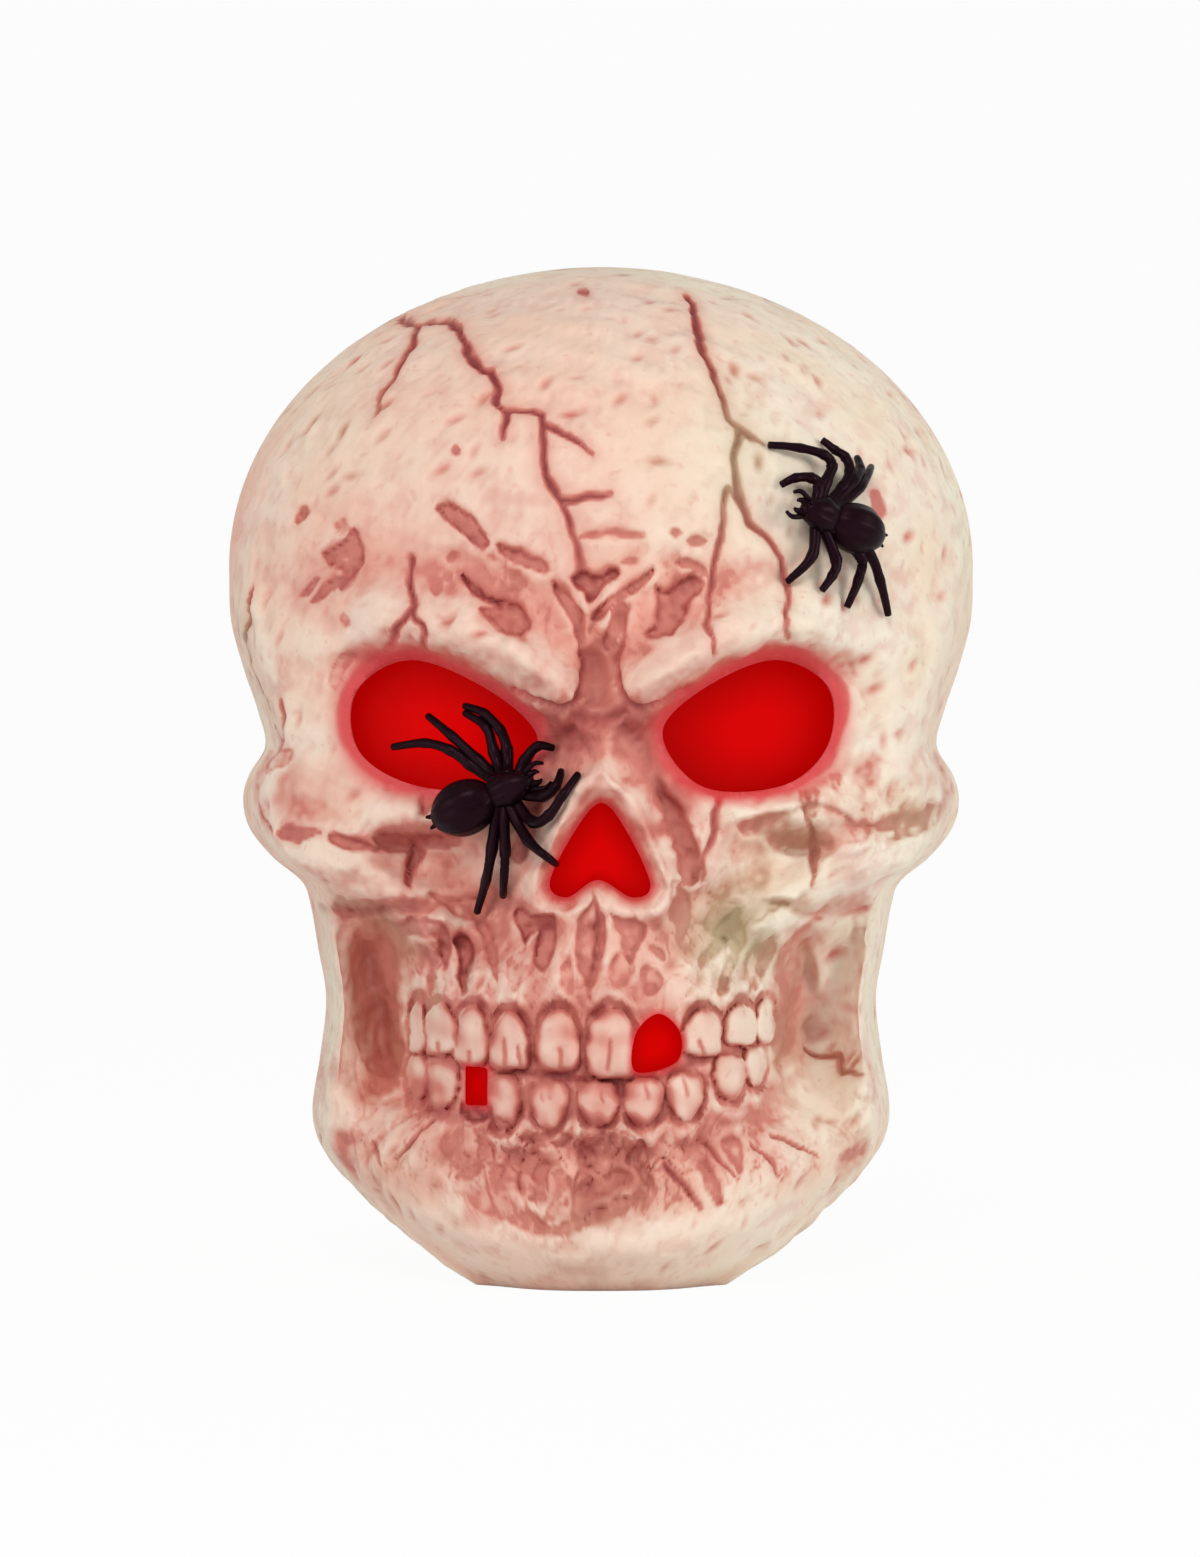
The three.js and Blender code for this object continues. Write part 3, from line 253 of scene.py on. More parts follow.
# forms on the plain skull, right side of the picture; each is mirrored. points are x, z and reach
ridges = {
    "brow": {"radius": 7, "points": [(5.5, 114.5, 86), (14, 120.5, 89), (25.5, 128, 86.5), (40, 131, 78),
        (53, 126, 62)]},
    "outerRim": {"radius": 6, "points": [(53, 126, 63), (56.5, 114, 58), (55, 101, 58)]},
    "lowerRim": {"radius": 5, "points": [(55, 100, 59), (42, 93, 68), (26, 91.5, 74), (15, 95, 77)]},
    "cheekArch": {"radius": 8, "points": [(46, 87, 66), (60, 88.5, 48), (70, 92, 20)]},
    "cheekEdge": {"radius": 5, "fall": 3, "points": [(61, 86, 45), (50, 79, 60), (40, 76.5, 67),
        (30, 71, 74)]},
    "noseBridge": {"radius": 6, "points": [(0, 116, 79), (0, 106, 84), (0, 97.5, 88)]},
    "noseRim": {"radius": 3.6, "points": [(0, 97.5, 87), (7, 90, 85), (12.5, 80, 83), (9.5, 73.5, 84),
        (0, 75, 87)]},
    "noseSide": {"radius": 6, "points": [(7, 110, 76), (15, 96, 77), (19, 82, 78)]},
    "ramus": {"radius": 6, "points": [(54, 82, 36), (53.5, 64, 43), (53.5, 46, 45), (50, 32, 52)]},
}
bulges = {
    "glabella": {"at": (0, 128, 84.5), "size": (24, 14), "deep": 18},
    "cheekbone": {"at": (47, 86, 66), "size": (20, 9), "deep": 22},
    "maxilla": {"at": (0, 66, 86), "size": (37, 24), "deep": 34},
    "chin": {"at": (0, 10, 90), "size": (21, 10), "deep": 14},
}
gumArch = {"halfWidth": 38, "deep": 37, "reach": 87.2, "low": 32, "high": 60, "fade": 9}

openings = {
    "eye_window_right": [(11.9, 107.8), (19.3, 116.4), (33.9, 122.6), (44.6, 117.4), (44.7, 106), (36, 98),
        (20, 97.6)],
    "eye_window_left": [(-12.3, 107), (-21.7, 116.4), (-37.3, 122.6), (-48.2, 116.4), (-47.6, 104.6),
        (-36, 97.8), (-19, 97.8)],
    "nose_window": [(0, 94.6), (-5.4, 88.6), (-10, 79), (-6.6, 76.2), (-0.6, 79.6), (6, 76.2), (9.6, 78.6),
        (5, 89)],
    "upper_gap_window": [(11, 54), (6.6, 50), (6.6, 42.6), (14.6, 44.4), (15.2, 50.4)],
    "lower_gap_window": [(-26.4, 43.4), (-22, 43.2), (-22, 35.6), (-26.4, 35.6)],
}
seats = {  # reach of each pane's seat at its middle, that middle's x, and its lean in degrees
    "eye_window_right": (65, 30, 16), "eye_window_left": (65, -30, -16), "nose_window": (75.5, 0, 0),
    "upper_gap_window": (80, 11, 12), "lower_gap_window": (72.5, -24.2, -32),
}
outlines = {name: closedCurve(points, 8) for name, points in openings.items() if name != "lower_gap_window"}
outlines["lower_gap_window"] = np.array(openings["lower_gap_window"], float)


def domeShare(z):
    over = np.clip((z - skull["domeCentre"]) / (skull["height"] - skull["domeCentre"]), 0, 1)
    return np.sqrt(np.maximum(0, 1 - over**2))


def frontWidth(z):
    return np.where(z > skull["domeCentre"], skull["domeHalfWidth"] * domeShare(z), halfWidthAt(z))


def softDrop(away, fall=1.5):
    return np.where(away < 0.75, away**2, 0.5625 + fall * (away - 0.75))


def ridgeReach(ridge, x, z):
    best = np.full(x.shape, -1e9)
    for (ax, az, aReach), (bx, bz, bReach) in zip(ridge["points"], ridge["points"][1:]):
        run = (bx - ax, bz - az)
        t = np.clip(((x - ax) * run[0] + (z - az) * run[1]) / (run[0] ** 2 + run[1] ** 2), 0, 1)
        away = np.hypot(x - ax - t * run[0], z - az - t * run[1]) / ridge["radius"]
        drop = ridge["radius"] * softDrop(away, ridge.get("fall", 1.5))
        best = np.maximum(best, aReach + (bReach - aReach) * t - drop)
    return best


def plainFace(x, z):
    across = np.clip(np.abs(x) / np.maximum(frontWidth(z), 1e-6), 0, 1)
    power = planPowerAt(z)
    reach = np.where(z > skull["domeCentre"], skull["foreheadReach"] * domeShare(z), plainReachAt(z))
    return reach * (1 - across**power) ** (1 / power), across


def faceReach(x, z):
    plain, across = plainFace(x, z)
    side = np.abs(x)
    reach = plain
    for bulge in bulges.values():
        bx, bz, top = bulge["at"]
        away = np.hypot((side - bx) / bulge["size"][0], (z - bz) / bulge["size"][1])
        reach = smoothMax(reach, top - bulge["deep"] * softDrop(away), 5)
    for ridge in ridges.values():
        reach = smoothMax(reach, ridgeReach(ridge, side, z), 4)
    away = side / gumArch["halfWidth"]
    drop = np.where(away < 1, away**3, 1 + 3 * (away - 1))
    beyond = np.maximum(np.maximum(gumArch["low"] - z, z - gumArch["high"]), 0) / gumArch["fade"]
    reach = smoothMax(reach, gumArch["reach"] - gumArch["deep"] * drop - 10 * beyond**2, 3)
    return plain, reach, across


# surface marks, in the picture's pixels: points, half-width, depth in millimetres and how much wash they
# hold; in a few grooves that wash is painted shade
cracks = {
    "templeLong": ([(399, 316), (410, 323), (437, 321), (460, 325), (466, 340), (470, 360), (480, 366),
        (493, 369), (495, 385), (496, 400), (504, 409), (530, 408), (542, 412), (543, 440), (544, 470),
        (552, 485), (563, 500), (572, 520), (577, 545), (580, 568)], 4.2, 1.1, 1.0),
    "templeSpur": ([(505, 412), (504, 424), (506, 438)], 4.0, 0.9, 0.9),
    "templeBranch": ([(545, 424), (565, 432), (580, 440), (592, 452)], 3.4, 0.8, 0.9),
    "templeLevel": ([(563, 498), (590, 496), (612, 492)], 3.2, 0.7, 0.8),
    "templeShort": ([(415, 325), (412, 340), (405, 352), (395, 370), (383, 388), (377, 400),
        (376, 415)], 3.4, 0.8, 0.9),
    "crownLong": ([(688, 294), (695, 315), (700, 340), (712, 365), (718, 380), (722, 395), (730, 415),
        (742, 430)], 4.2, 1.1, 1.0),
    "crownSpur": ([(742, 430), (750, 436), (765, 443)], 3.0, 0.7, 0.8),
    "crownDown": ([(740, 432), (736, 455), (736, 475), (738, 490), (742, 505), (750, 520), (765, 532),
        (778, 548), (783, 560), (786, 580), (788, 600), (788, 640)], 3.8, 0.9, 0.8),
    "crownInner": ([(730, 488), (724, 510), (721, 535), (718, 560), (712, 580), (706, 600), (706, 620),
        (712, 640), (716, 655)], 3.6, 0.9, 0.75),
    "browStem": ([(408, 555), (408, 575), (411, 595), (413, 608)], 3.2, 0.8, 0.8),
    "browLeft": ([(413, 606), (405, 614), (395, 627), (388, 648)], 3.2, 0.8, 0.8),
    "browRight": ([(413, 606), (418, 620), (422, 635), (425, 650)], 3.2, 0.8, 0.8),
    "sideUpper": ([(252, 588), (248, 605), (244, 625), (242, 645)], 3.8, 0.9, 0.8),
    "sideLower": ([(241, 642), (248, 665), (257, 690), (267, 715), (277, 740)], 3.8, 0.9, 0.85),
    "sideInner": ([(280, 700), (283, 718), (281, 738), (272, 755)], 3.4, 0.8, 0.6),
    "bulbLeft": ([(512, 690), (540, 704), (562, 711), (577, 705), (585, 690), (586, 660), (580, 630),
        (577, 606)], 4.6, 1.5, 0.75),
    "bulbRight": ([(690, 690), (662, 704), (640, 711), (625, 705), (617, 690), (616, 660), (622, 630),
        (628, 608)], 4.6, 1.5, 0.7),
    "noseStepLeft": ([(576, 706), (572, 722), (575, 738), (582, 752)], 3.2, 0.8, 0.5),
    "noseStepRight": ([(624, 706), (627, 722), (624, 738), (617, 752)], 3.2, 0.8, 0.45),
    "cheekSide": ([(266, 765), (258, 785), (255, 800), (262, 822), (270, 833)], 3.4, 0.8, 0.8),
    "cheekDrop": ([(413, 850), (408, 865), (411, 880)], 3.2, 0.8, 0.8),
    "eyeDropInner": ([(718, 792), (714, 830), (706, 860), (703, 880)], 3.6, 0.9, 0.7),
    "eyeDropOuter": ([(806, 790), (812, 820), (815, 860), (816, 890)], 3.2, 0.8, 0.6),
    "jawLeft": ([(430, 1120), (410, 1140), (393, 1157)], 3.8, 0.9, 0.8),
    "jawLeftLow": ([(370, 1142), (380, 1165)], 3.4, 0.8, 0.7),
    "jawRightA": ([(640, 1140), (650, 1165)], 3.2, 0.8, 0.7),
    "jawRightB": ([(665, 1165), (685, 1185), (705, 1208)], 4.0, 0.9, 0.8),
    "jawRightC": ([(700, 1140), (725, 1160), (740, 1180)], 3.4, 0.8, 0.6),
    "jawRightD": ([(755, 1145), (775, 1165), (785, 1180)], 3.2, 0.8, 0.6),
    "jawRightE": ([(775, 1135), (800, 1145), (820, 1155)], 3.2, 0.8, 0.6),
    "ramusRight": ([(805, 1048), (835, 1055), (840, 1070), (865, 1075)], 3.0, 0.7, 0.6),
}
grooves = {
    "noseSideRight": ([(645, 745), (650, 770), (665, 800), (672, 830), (690, 858),
        (697, 880)], 8, 1.3, 0.55),
    "noseSideLeft": ([(556, 748), (548, 775), (532, 800), (524, 830), (505, 860)], 7, 1.0, 0.45),
    "furrow": ([(594, 600), (595, 640), (594, 672), (597, 700)], 12, 2.4, 0.22),
    # the tear pits and the nose root hold painted shade under the brow at the inner eye corners
    "tearPitLeft": ([(548, 722), (560, 740), (552, 762)], 11, 1.8, 0.7),
    "tearPitRight": ([(652, 722), (642, 740), (650, 762)], 11, 1.6, 0.6),
    "noseRoot": ([(575, 716), (601, 722), (628, 714)], 6, 1.3, 0.6),
    "noseCrease": ([(583, 738), (601, 742), (618, 738)], 4, 0.6, 0.45),
    "strip7": ([(580, 534), (612, 533), (642, 535)], 4, 0.4, 0.4),
    "strip8": ([(470, 548), (500, 562), (530, 590)], 4, 0.5, 0.4),
    # the wash under each cheekbone is its painted shadow
    "underCheekLeft": ([(318, 908), (360, 914), (410, 912), (448, 902)], 9, 3.0, 0.55),
    "underCheekRight": ([(886, 908), (842, 914), (806, 914), (770, 906)], 8, 2.2, 0.12),
    "recessEdgeRight": ([(822, 920), (800, 935), (785, 955), (775, 985), (772, 1010), (778, 1040),
        (785, 1075)], 6, 1.0, 0.55),
    "ramusCrease": ([(855, 920), (857, 975), (856, 1030)], 5, 0.8, 0.35),
    "cheekFoldLeft": ([(262, 752), (255, 772), (252, 795), (262, 822)], 6, 1.3, 0.5),
    "cheekFoldRight": ([(944, 752), (951, 772), (953, 795), (944, 820)], 6, 1.3, 0.45),
}
rolls = {  # raised bone: points, half-width and height
    "browLeft": ([(586, 706), (560, 688), (520, 655), (470, 628), (425, 624), (380, 632),
        (345, 650)], 24, 1.8),
    "browRight": ([(616, 706), (645, 688), (690, 655), (735, 632), (790, 630), (840, 642),
        (864, 668)], 23, 1.7),
    "lobeLeft": ([(572, 692), (552, 676), (526, 656), (500, 642)], 24, 2.6),
    "lobeRight": ([(626, 692), (648, 676), (676, 654), (700, 640)], 24, 2.4),
    "lipLeft": ([(350, 640), (331, 690), (336, 740), (352, 778), (390, 800), (432, 806)], 12, 1.5),
    "lipRight": ([(860, 655), (868, 710), (858, 755), (835, 790), (790, 804), (735, 802),
        (690, 788)], 12, 1.5),
    "tearLeft": ([(558, 716), (564, 746), (548, 780)], 9, 1.1),
    "tearRight": ([(646, 716), (640, 746), (654, 780)], 9, 1.0),
    "noseTop": ([(601, 716), (601, 748), (600, 782)], 15, 1.3),
    "noseLeft": ([(600, 770), (570, 796), (552, 836), (537, 870), (527, 896), (540, 916),
        (566, 910)], 9, 2.5),
    "noseRight": ([(600, 770), (632, 796), (650, 836), (664, 870), (673, 896), (660, 916),
        (634, 910)], 9, 2.5),
    "noseSpine": ([(596, 884), (594, 905), (594, 925)], 8, 1.4),
    "cheekLeft": ([(276, 850), (310, 880), (360, 893), (412, 896), (452, 886)], 13, 1.4),
    "cheekRight": ([(930, 850), (890, 880), (845, 893), (795, 896), (752, 886)], 13, 1.4),
    "cheekMassLeft": ([(266, 806), (310, 810), (370, 818), (430, 822)], 22, 2.6),
    "cheekMassRight": ([(940, 806), (895, 810), (835, 818), (775, 822)], 22, 2.6),
    "cheekLowLeft": ([(290, 862), (340, 872), (400, 876), (448, 870)], 16, 3.2),
    "cheekLowRight": ([(912, 862), (862, 872), (806, 876), (756, 870)], 16, 3.0),
    "ramusLeft": ([(326, 900), (322, 960), (325, 1040), (337, 1110)], 15, 1.4),
    "ramusRight": ([(872, 900), (878, 960), (872, 1040), (858, 1110)], 15, 1.4),
    "muzzleLeft": ([(452, 905), (428, 930), (414, 960), (405, 1000)], 12, 1.5),
    "muzzleRight": ([(752, 905), (774, 930), (784, 960), (788, 1000)], 12, 1.2),
    "chinLedge": ([(420, 1218), (500, 1246), (590, 1258), (680, 1246), (752, 1208)], 22, 1.4),
    "jawLeft": ([(335, 1115), (370, 1135), (420, 1165), (470, 1190)], 18, 1.0),
    "jawRight": ([(862, 1112), (830, 1135), (785, 1165), (735, 1190)], 18, 1.0),
}
hollows = {  # sunk fields beside the jaw: outline, depth, most wash, from pale to dark across; that wash is partly painted shade, darkest beside the muzzle
    "hollowLeft": ([(352, 925), (388, 917), (418, 922), (404, 948), (399, 985), (400, 1030), (404, 1072),
        (392, 1090), (372, 1082), (356, 1040), (349, 980)], 6.0, 0.52, (345, 402)),
    "hollowRight": ([(800, 930), (814, 926), (824, 944), (827, 985), (824, 1035), (814, 1056), (800, 1064),
        (786, 1072), (776, 1040), (772, 1008), (778, 975), (788, 950)], 4.5, 0.48, (836, 800)),
}
chips = {  # sunk patches with a crisp edge: outline, depth and wash
    "templePit": ([(320, 553), (335, 545), (345, 538), (352, 528), (360, 540), (362, 560), (352, 575),
        (340, 590), (336, 587), (344, 574), (329, 566)], 1.2, 0.72),
    "templeTailA": ([(297, 595), (305, 583), (316, 577), (318, 581), (305, 595)], 0.7, 0.7),
    "templeTailB": ([(307, 603), (318, 588), (332, 578), (346, 572), (338, 586), (325, 596)], 0.8, 0.65),
    "templeHigh": ([(332, 523), (343, 517), (349, 528), (339, 535)], 0.4, 0.4),
    "sidePit": ([(293, 522), (299, 508), (307, 506), (307, 517), (300, 521)], 0.7, 0.65),
    "crownPit": ([(577, 291), (583, 287), (590, 291), (584, 295)], 0.6, 0.9),
    "foreheadPit": ([(449, 450), (455, 445), (462, 450), (455, 455)], 0.5, 0.55),
    "spiderPit": ([(870, 492), (880, 490), (888, 510), (880, 520), (872, 508)], 0.6, 0.35),
    "browStripA": ([(435, 508), (447, 501), (468, 514), (482, 529), (489, 545), (479, 549), (467, 538),
        (454, 525)], 1.0, 0.7),
    "browStripB": ([(494, 543), (510, 548), (530, 556), (546, 562), (550, 570), (541, 574), (520, 566),
        (500, 555)], 0.8, 0.6),
    "browPit": ([(458, 570), (470, 579), (486, 591), (502, 599), (516, 604), (528, 613), (530, 624),
        (521, 634), (505, 634), (491, 622), (479, 607), (492, 608), (500, 607), (480, 597),
        (465, 584)], 1.5, 0.8),
    "notch": ([(571, 578), (583, 572), (596, 577), (606, 572), (613, 567), (620, 574), (612, 581),
        (605, 583), (598, 593), (589, 603), (580, 591)], 1.5, 0.85),
    "browStripC": ([(591, 618), (598, 606), (612, 595), (630, 583), (646, 572), (653, 567), (653, 577),
        (640, 588), (621, 601), (606, 615), (598, 621)], 1.0, 0.65),
    "foldLeft": ([(550, 581), (564, 589), (576, 602), (585, 619), (586, 641), (579, 641), (571, 622),
        (559, 601)], 1.0, 0.55),
    "foldRight": ([(622, 600), (627, 612), (621, 631), (614, 648), (606, 653), (602, 641), (608, 625),
        (614, 608)], 1.0, 0.6),
    "browPitRight": ([(654, 585), (666, 592), (680, 580), (692, 574), (704, 581), (701, 592), (689, 600),
        (684, 615), (673, 631), (656, 638), (646, 634), (654, 624), (657, 604)], 1.3, 0.7),
    "crossPit": ([(674, 559), (690, 560), (704, 566), (706, 575), (692, 571), (680, 567)], 0.7, 0.5),
    "smearHigh": ([(580, 532), (612, 529), (643, 533), (640, 539), (610, 537), (585, 539)], 0.4, 0.35),
    "dotA": ([(668, 531), (676, 527), (682, 533), (674, 537)], 0.5, 0.5),
    "dotB": ([(686, 540), (697, 535), (707, 541), (696, 546)], 0.5, 0.45),
    "dotC": ([(508, 571), (517, 568), (522, 575), (514, 580)], 0.4, 0.4),
    "dotD": ([(429, 585), (436, 578), (440, 588), (434, 594)], 0.4, 0.4),
    "dotE": ([(444, 556), (452, 550), (456, 557), (449, 562)], 0.4, 0.35),
    "dotF": ([(618, 560), (630, 556), (641, 560), (630, 566)], 0.4, 0.35),
    "eyeSpotLeft": ([(328, 684), (332, 664), (345, 652), (357, 654), (346, 674), (337, 692)], 0.5, 0.35),
    "dimpleLeft": ([(338, 618), (344, 612), (349, 622), (344, 630)], 0.4, 0.35),
    "cheekGrooveLeft": ([(328, 832), (345, 836), (363, 842), (378, 845), (371, 838), (386, 833), (410, 838),
        (430, 838), (454, 835), (458, 846), (432, 849), (415, 850), (400, 853), (380, 851), (360, 851),
        (340, 848), (329, 842)], 1.4, 0.55),
    "cheekNotchLeft": ([(273, 832), (284, 826), (300, 828), (319, 829), (313, 837), (296, 841),
        (279, 839)], 1.0, 0.5),
    "cheekDropLeft": ([(407, 871), (411, 852), (424, 850), (420, 863), (414, 873), (412, 888),
        (407, 884)], 0.9, 0.65),
    "underEyeLeft": ([(420, 796), (428, 789), (442, 794), (432, 808), (426, 817), (420, 813)], 1.0, 0.75),
    "foldSideLeft": ([(261, 760), (275, 750), (291, 751), (288, 762), (275, 768), (261, 773)], 0.8, 0.4),
    "cheekFieldRight": ([(739, 825), (760, 818), (785, 809), (800, 806), (815, 801), (840, 809), (851, 820),
        (868, 822), (873, 832), (862, 843), (838, 846), (835, 853), (815, 859), (800, 856), (785, 856),
        (772, 849), (762, 839), (744, 836)], 1.1, 0.22),
    "cheekDeepRight": ([(768, 836), (790, 832), (799, 840), (818, 842), (833, 842), (830, 852), (806, 856),
        (780, 852)], 0.6, 0.22),
    "cheekGreyRight": ([(868, 826), (890, 818), (915, 814), (935, 804), (946, 804), (944, 822), (925, 833),
        (905, 839), (888, 841), (896, 833), (880, 831)], 1.2, 0.3),
    "dripHigh": ([(799, 791), (808, 789), (819, 790), (817, 815), (808, 820), (802, 806)], 0.8, 0.5),
    "dripLow": ([(811, 850), (819, 849), (818, 866), (813, 874), (809, 861)], 0.8, 0.55),
    "cheekDotRight": ([(831, 778), (840, 771), (841, 785), (835, 793)], 0.5, 0.35),
    # these two patches paint shade on the sides of the nose
    "noseSide": ([(655, 778), (668, 792), (682, 812), (694, 838), (702, 868), (692, 887), (683, 880),
        (676, 848), (664, 812)], 1.2, 0.42),
    "noseSideLeft": ([(545, 790), (532, 806), (524, 830), (512, 856), (520, 862), (531, 838),
        (540, 812)], 0.9, 0.42),
    "fieldLeft": ([(428, 890), (455, 896), (481, 899), (487, 914), (471, 921), (446, 907)], 0.8, 0.5),
    "hookPit": ([(405, 920), (420, 918), (438, 921), (449, 930), (451, 955), (446, 970), (440, 956),
        (435, 939), (420, 937), (406, 935)], 1.3, 0.7),
    "keyhole": ([(453, 941), (460, 934), (470, 941), (473, 955), (468, 971), (466, 991), (459, 993),
        (457, 975), (458, 951)], 1.6, 0.85),
    "slitLeft": ([(468, 904), (479, 914), (490, 930), (497, 955), (499, 982), (490, 969), (484, 946),
        (474, 922)], 0.9, 0.5),
    "bracket": ([(512, 916), (520, 907), (531, 915), (548, 914), (556, 920), (553, 950), (545, 970),
        (535, 966), (533, 946), (538, 931), (530, 936), (524, 943), (519, 930)], 1.3, 0.68),
    "lens": ([(593, 888), (598, 904), (604, 920), (606, 942), (601, 963), (593, 986), (590, 1002),
        (586, 985), (579, 972), (576, 945), (580, 915), (589, 902)], 1.2, 0.46),
    "lensDeep": ([(594, 892), (599, 915), (602, 940), (598, 962), (592, 990), (592, 960),
        (594, 930)], 0.7, 0.62),
    "smearMid": ([(611, 912), (622, 918), (640, 921), (647, 934), (639, 951), (628, 964), (622, 946),
        (617, 930)], 0.9, 0.45),
    "forkMid": ([(648, 944), (662, 949), (666, 962), (655, 955)], 0.6, 0.45),
    "smearTan": ([(612, 960), (624, 952), (634, 966), (628, 984), (616, 990), (608, 976)], 0.7, 0.3),
    "smearTanB": ([(640, 968), (654, 966), (664, 978), (658, 994), (645, 992)], 0.7, 0.28),
    "stripTan": ([(671, 884), (684, 880), (691, 905), (688, 932), (678, 940), (672, 912)], 0.8, 0.34),
    "rootTan": ([(560, 965), (570, 958), (575, 976), (568, 994), (560, 986)], 0.7, 0.32),
    "rootTanB": ([(505, 960), (515, 955), (522, 975), (514, 992), (506, 982)], 0.7, 0.34),
    "greyA": ([(698, 958), (711, 942), (722, 934), (727, 944), (712, 961), (701, 972)], 1.0, 0.3),
    "greyB": ([(714, 930), (738, 906), (765, 897), (792, 905), (770, 912), (751, 926), (745, 946),
        (736, 967), (728, 991), (719, 996), (722, 970), (729, 950), (721, 940)], 1.2, 0.26),
    "greyC": ([(753, 978), (764, 951), (773, 938), (777, 948), (767, 971), (756, 993)], 1.0, 0.32),
    "gapPit": ([(459, 1103), (474, 1106), (490, 1103), (489, 1116), (476, 1123), (462, 1118)], 1.4, 1.5),
    "gapRoot": ([(487, 1120), (500, 1117), (512, 1122), (510, 1135), (496, 1137), (488, 1130)], 0.8, 0.75),
    "chinA": ([(513, 1138), (535, 1133), (560, 1131), (574, 1137), (566, 1147), (545, 1146),
        (525, 1143)], 0.8, 0.55),
    "chinB": ([(497, 1166), (519, 1159), (531, 1171), (521, 1189), (501, 1193), (489, 1181)], 0.6, 0.3),
    "chinC": ([(532, 1175), (540, 1165), (560, 1162), (549, 1173), (546, 1184), (539, 1187)], 0.7, 0.48),
    "chinD": ([(517, 1183), (535, 1186), (547, 1197), (540, 1204), (525, 1196)], 0.6, 0.42),
    "chinE": ([(477, 1190), (500, 1184), (513, 1205), (500, 1220), (480, 1213), (467, 1200)], 0.6, 0.34),
    "chinF": ([(503, 1217), (530, 1213), (548, 1224), (575, 1216), (600, 1206), (625, 1196), (642, 1189),
        (645, 1200), (620, 1213), (595, 1223), (570, 1233), (545, 1237), (520, 1229)], 0.9, 0.42),
    "chinG": ([(583, 1140), (600, 1135), (617, 1136), (609, 1146), (598, 1151), (591, 1166), (588, 1180),
        (602, 1178), (613, 1171), (627, 1171), (634, 1182), (620, 1189), (600, 1193), (584, 1198),
        (576, 1192), (588, 1170), (579, 1155)], 0.9, 0.44),
    "chinH": ([(623, 1162), (639, 1139), (648, 1144), (641, 1160), (653, 1178), (657, 1190), (645, 1186),
        (635, 1172)], 0.9, 0.55),
    "chinI": ([(614, 1191), (640, 1181), (657, 1190), (651, 1206), (632, 1213), (614, 1206)], 0.6, 0.3),
    "jawPitA": ([(699, 1159), (712, 1169), (723, 1190), (723, 1204), (711, 1197), (704, 1180)], 0.8, 0.42),
    "jawPitB": ([(724, 1141), (736, 1138), (744, 1150), (743, 1174), (734, 1166), (725, 1151)], 0.8, 0.42),
    "jawPitC": ([(453, 1181), (464, 1168), (479, 1163), (481, 1172), (468, 1181)], 0.7, 0.5),
    "jawPitD": ([(672, 1125), (684, 1122), (690, 1140), (681, 1150), (674, 1140)], 0.7, 0.4),
}
# each tooth: left, right, gum end and cutting edge
upperTeeth = [
    (409, 424, 1003, 1052), (424, 453, 1006, 1053), (454, 486, 1008, 1066), (489, 528, 1014, 1070),
    (536, 579, 1012, 1071), (586, 636, 1011, 1078), (685, 722, 1012, 1056), (728, 756, 1006, 1045),
    (758, 775, 1002, 1042),
]
lowerTeeth = [
    (409, 425, 1097, 1056), (426, 455, 1108, 1058), (488, 519, 1127, 1077), (531, 566, 1127, 1083),
    (579, 617, 1125, 1083), (624, 662, 1123, 1082), (668, 704, 1118, 1075), (716, 746, 1097, 1057),
    (748, 765, 1084, 1049),
]
toothNicks = [
    [(503, 1040), (505, 1068)], [(518, 1046), (520, 1068)], [(469, 1050), (470, 1066)],
    [(611, 1040), (609, 1070)], [(560, 1048), (561, 1069)], [(541, 1084), (543, 1100)],
    [(549, 1084), (550, 1097)], [(438, 1042), (440, 1053)], [(700, 1040), (703, 1055)],
    [(645, 1084), (648, 1098)], [(684, 1078), (688, 1096)], [(600, 1086), (603, 1102)],
]
biteLine = [
    (406, 1053), (440, 1057), (486, 1068), (530, 1074), (580, 1080), (615, 1082), (640, 1080), (680, 1069),
    (715, 1056), (752, 1046), (776, 1042),
]
teeth = {  # lengths across the picture in its pixels, heights and depths in millimetres
    "upper": {"stands": 1.0, "root": 66, "lean": 0.12}, "lower": {"stands": 0.82, "root": -44, "lean": -0.05},
    "crownGrow": (2.0, 1.0), "skirtGrow": (6.0, 6.5), "collarGrow": (10, 17), "rootWidth": 0.6, "middle": 592,
    "rise": 2.2, "collar": 0.9, "roots": 1.9, "seam": 1.2, "nickWidth": 3.0, "nickDepth": 0.5,
    "biteWidth": 6.5, "biteDepth": 1.0,
}


def tooth(box, u, v, grow, gumGrow):  # 1 on the tooth, 0 off it; gumGrow adds at the gum end
    left, right, gum, edge = box
    side = 1 if edge > gum else -1
    gum = gum - side * gumGrow
    along = (v - gum) / (edge - gum)  # 0 at the gum, 1 at the cutting edge
    arch = 0.34 + 0.66 * np.sqrt(np.clip(along / 0.5, 0.0, 1))
    across = (u - (left + right) / 2) / ((right - left) / 2 * arch + grow)
    along = (2 * along - 1) / (1 + 2 * grow / abs(edge - gum))
    away = np.abs(across) ** 3.2 + np.abs(along) ** 5.0
    return np.clip(1 - away, 0, 1) ** 0.45


def pieceFrom(bm, name):  # turns a work mesh into a smooth piece of the scene
    mesh = bpy.data.meshes.new(name)
    bm.to_mesh(mesh)
    bm.free()
    mesh.shade_smooth()
    piece = bpy.data.objects.new(name, mesh)
    scene.collection.objects.link(piece)
    return piece


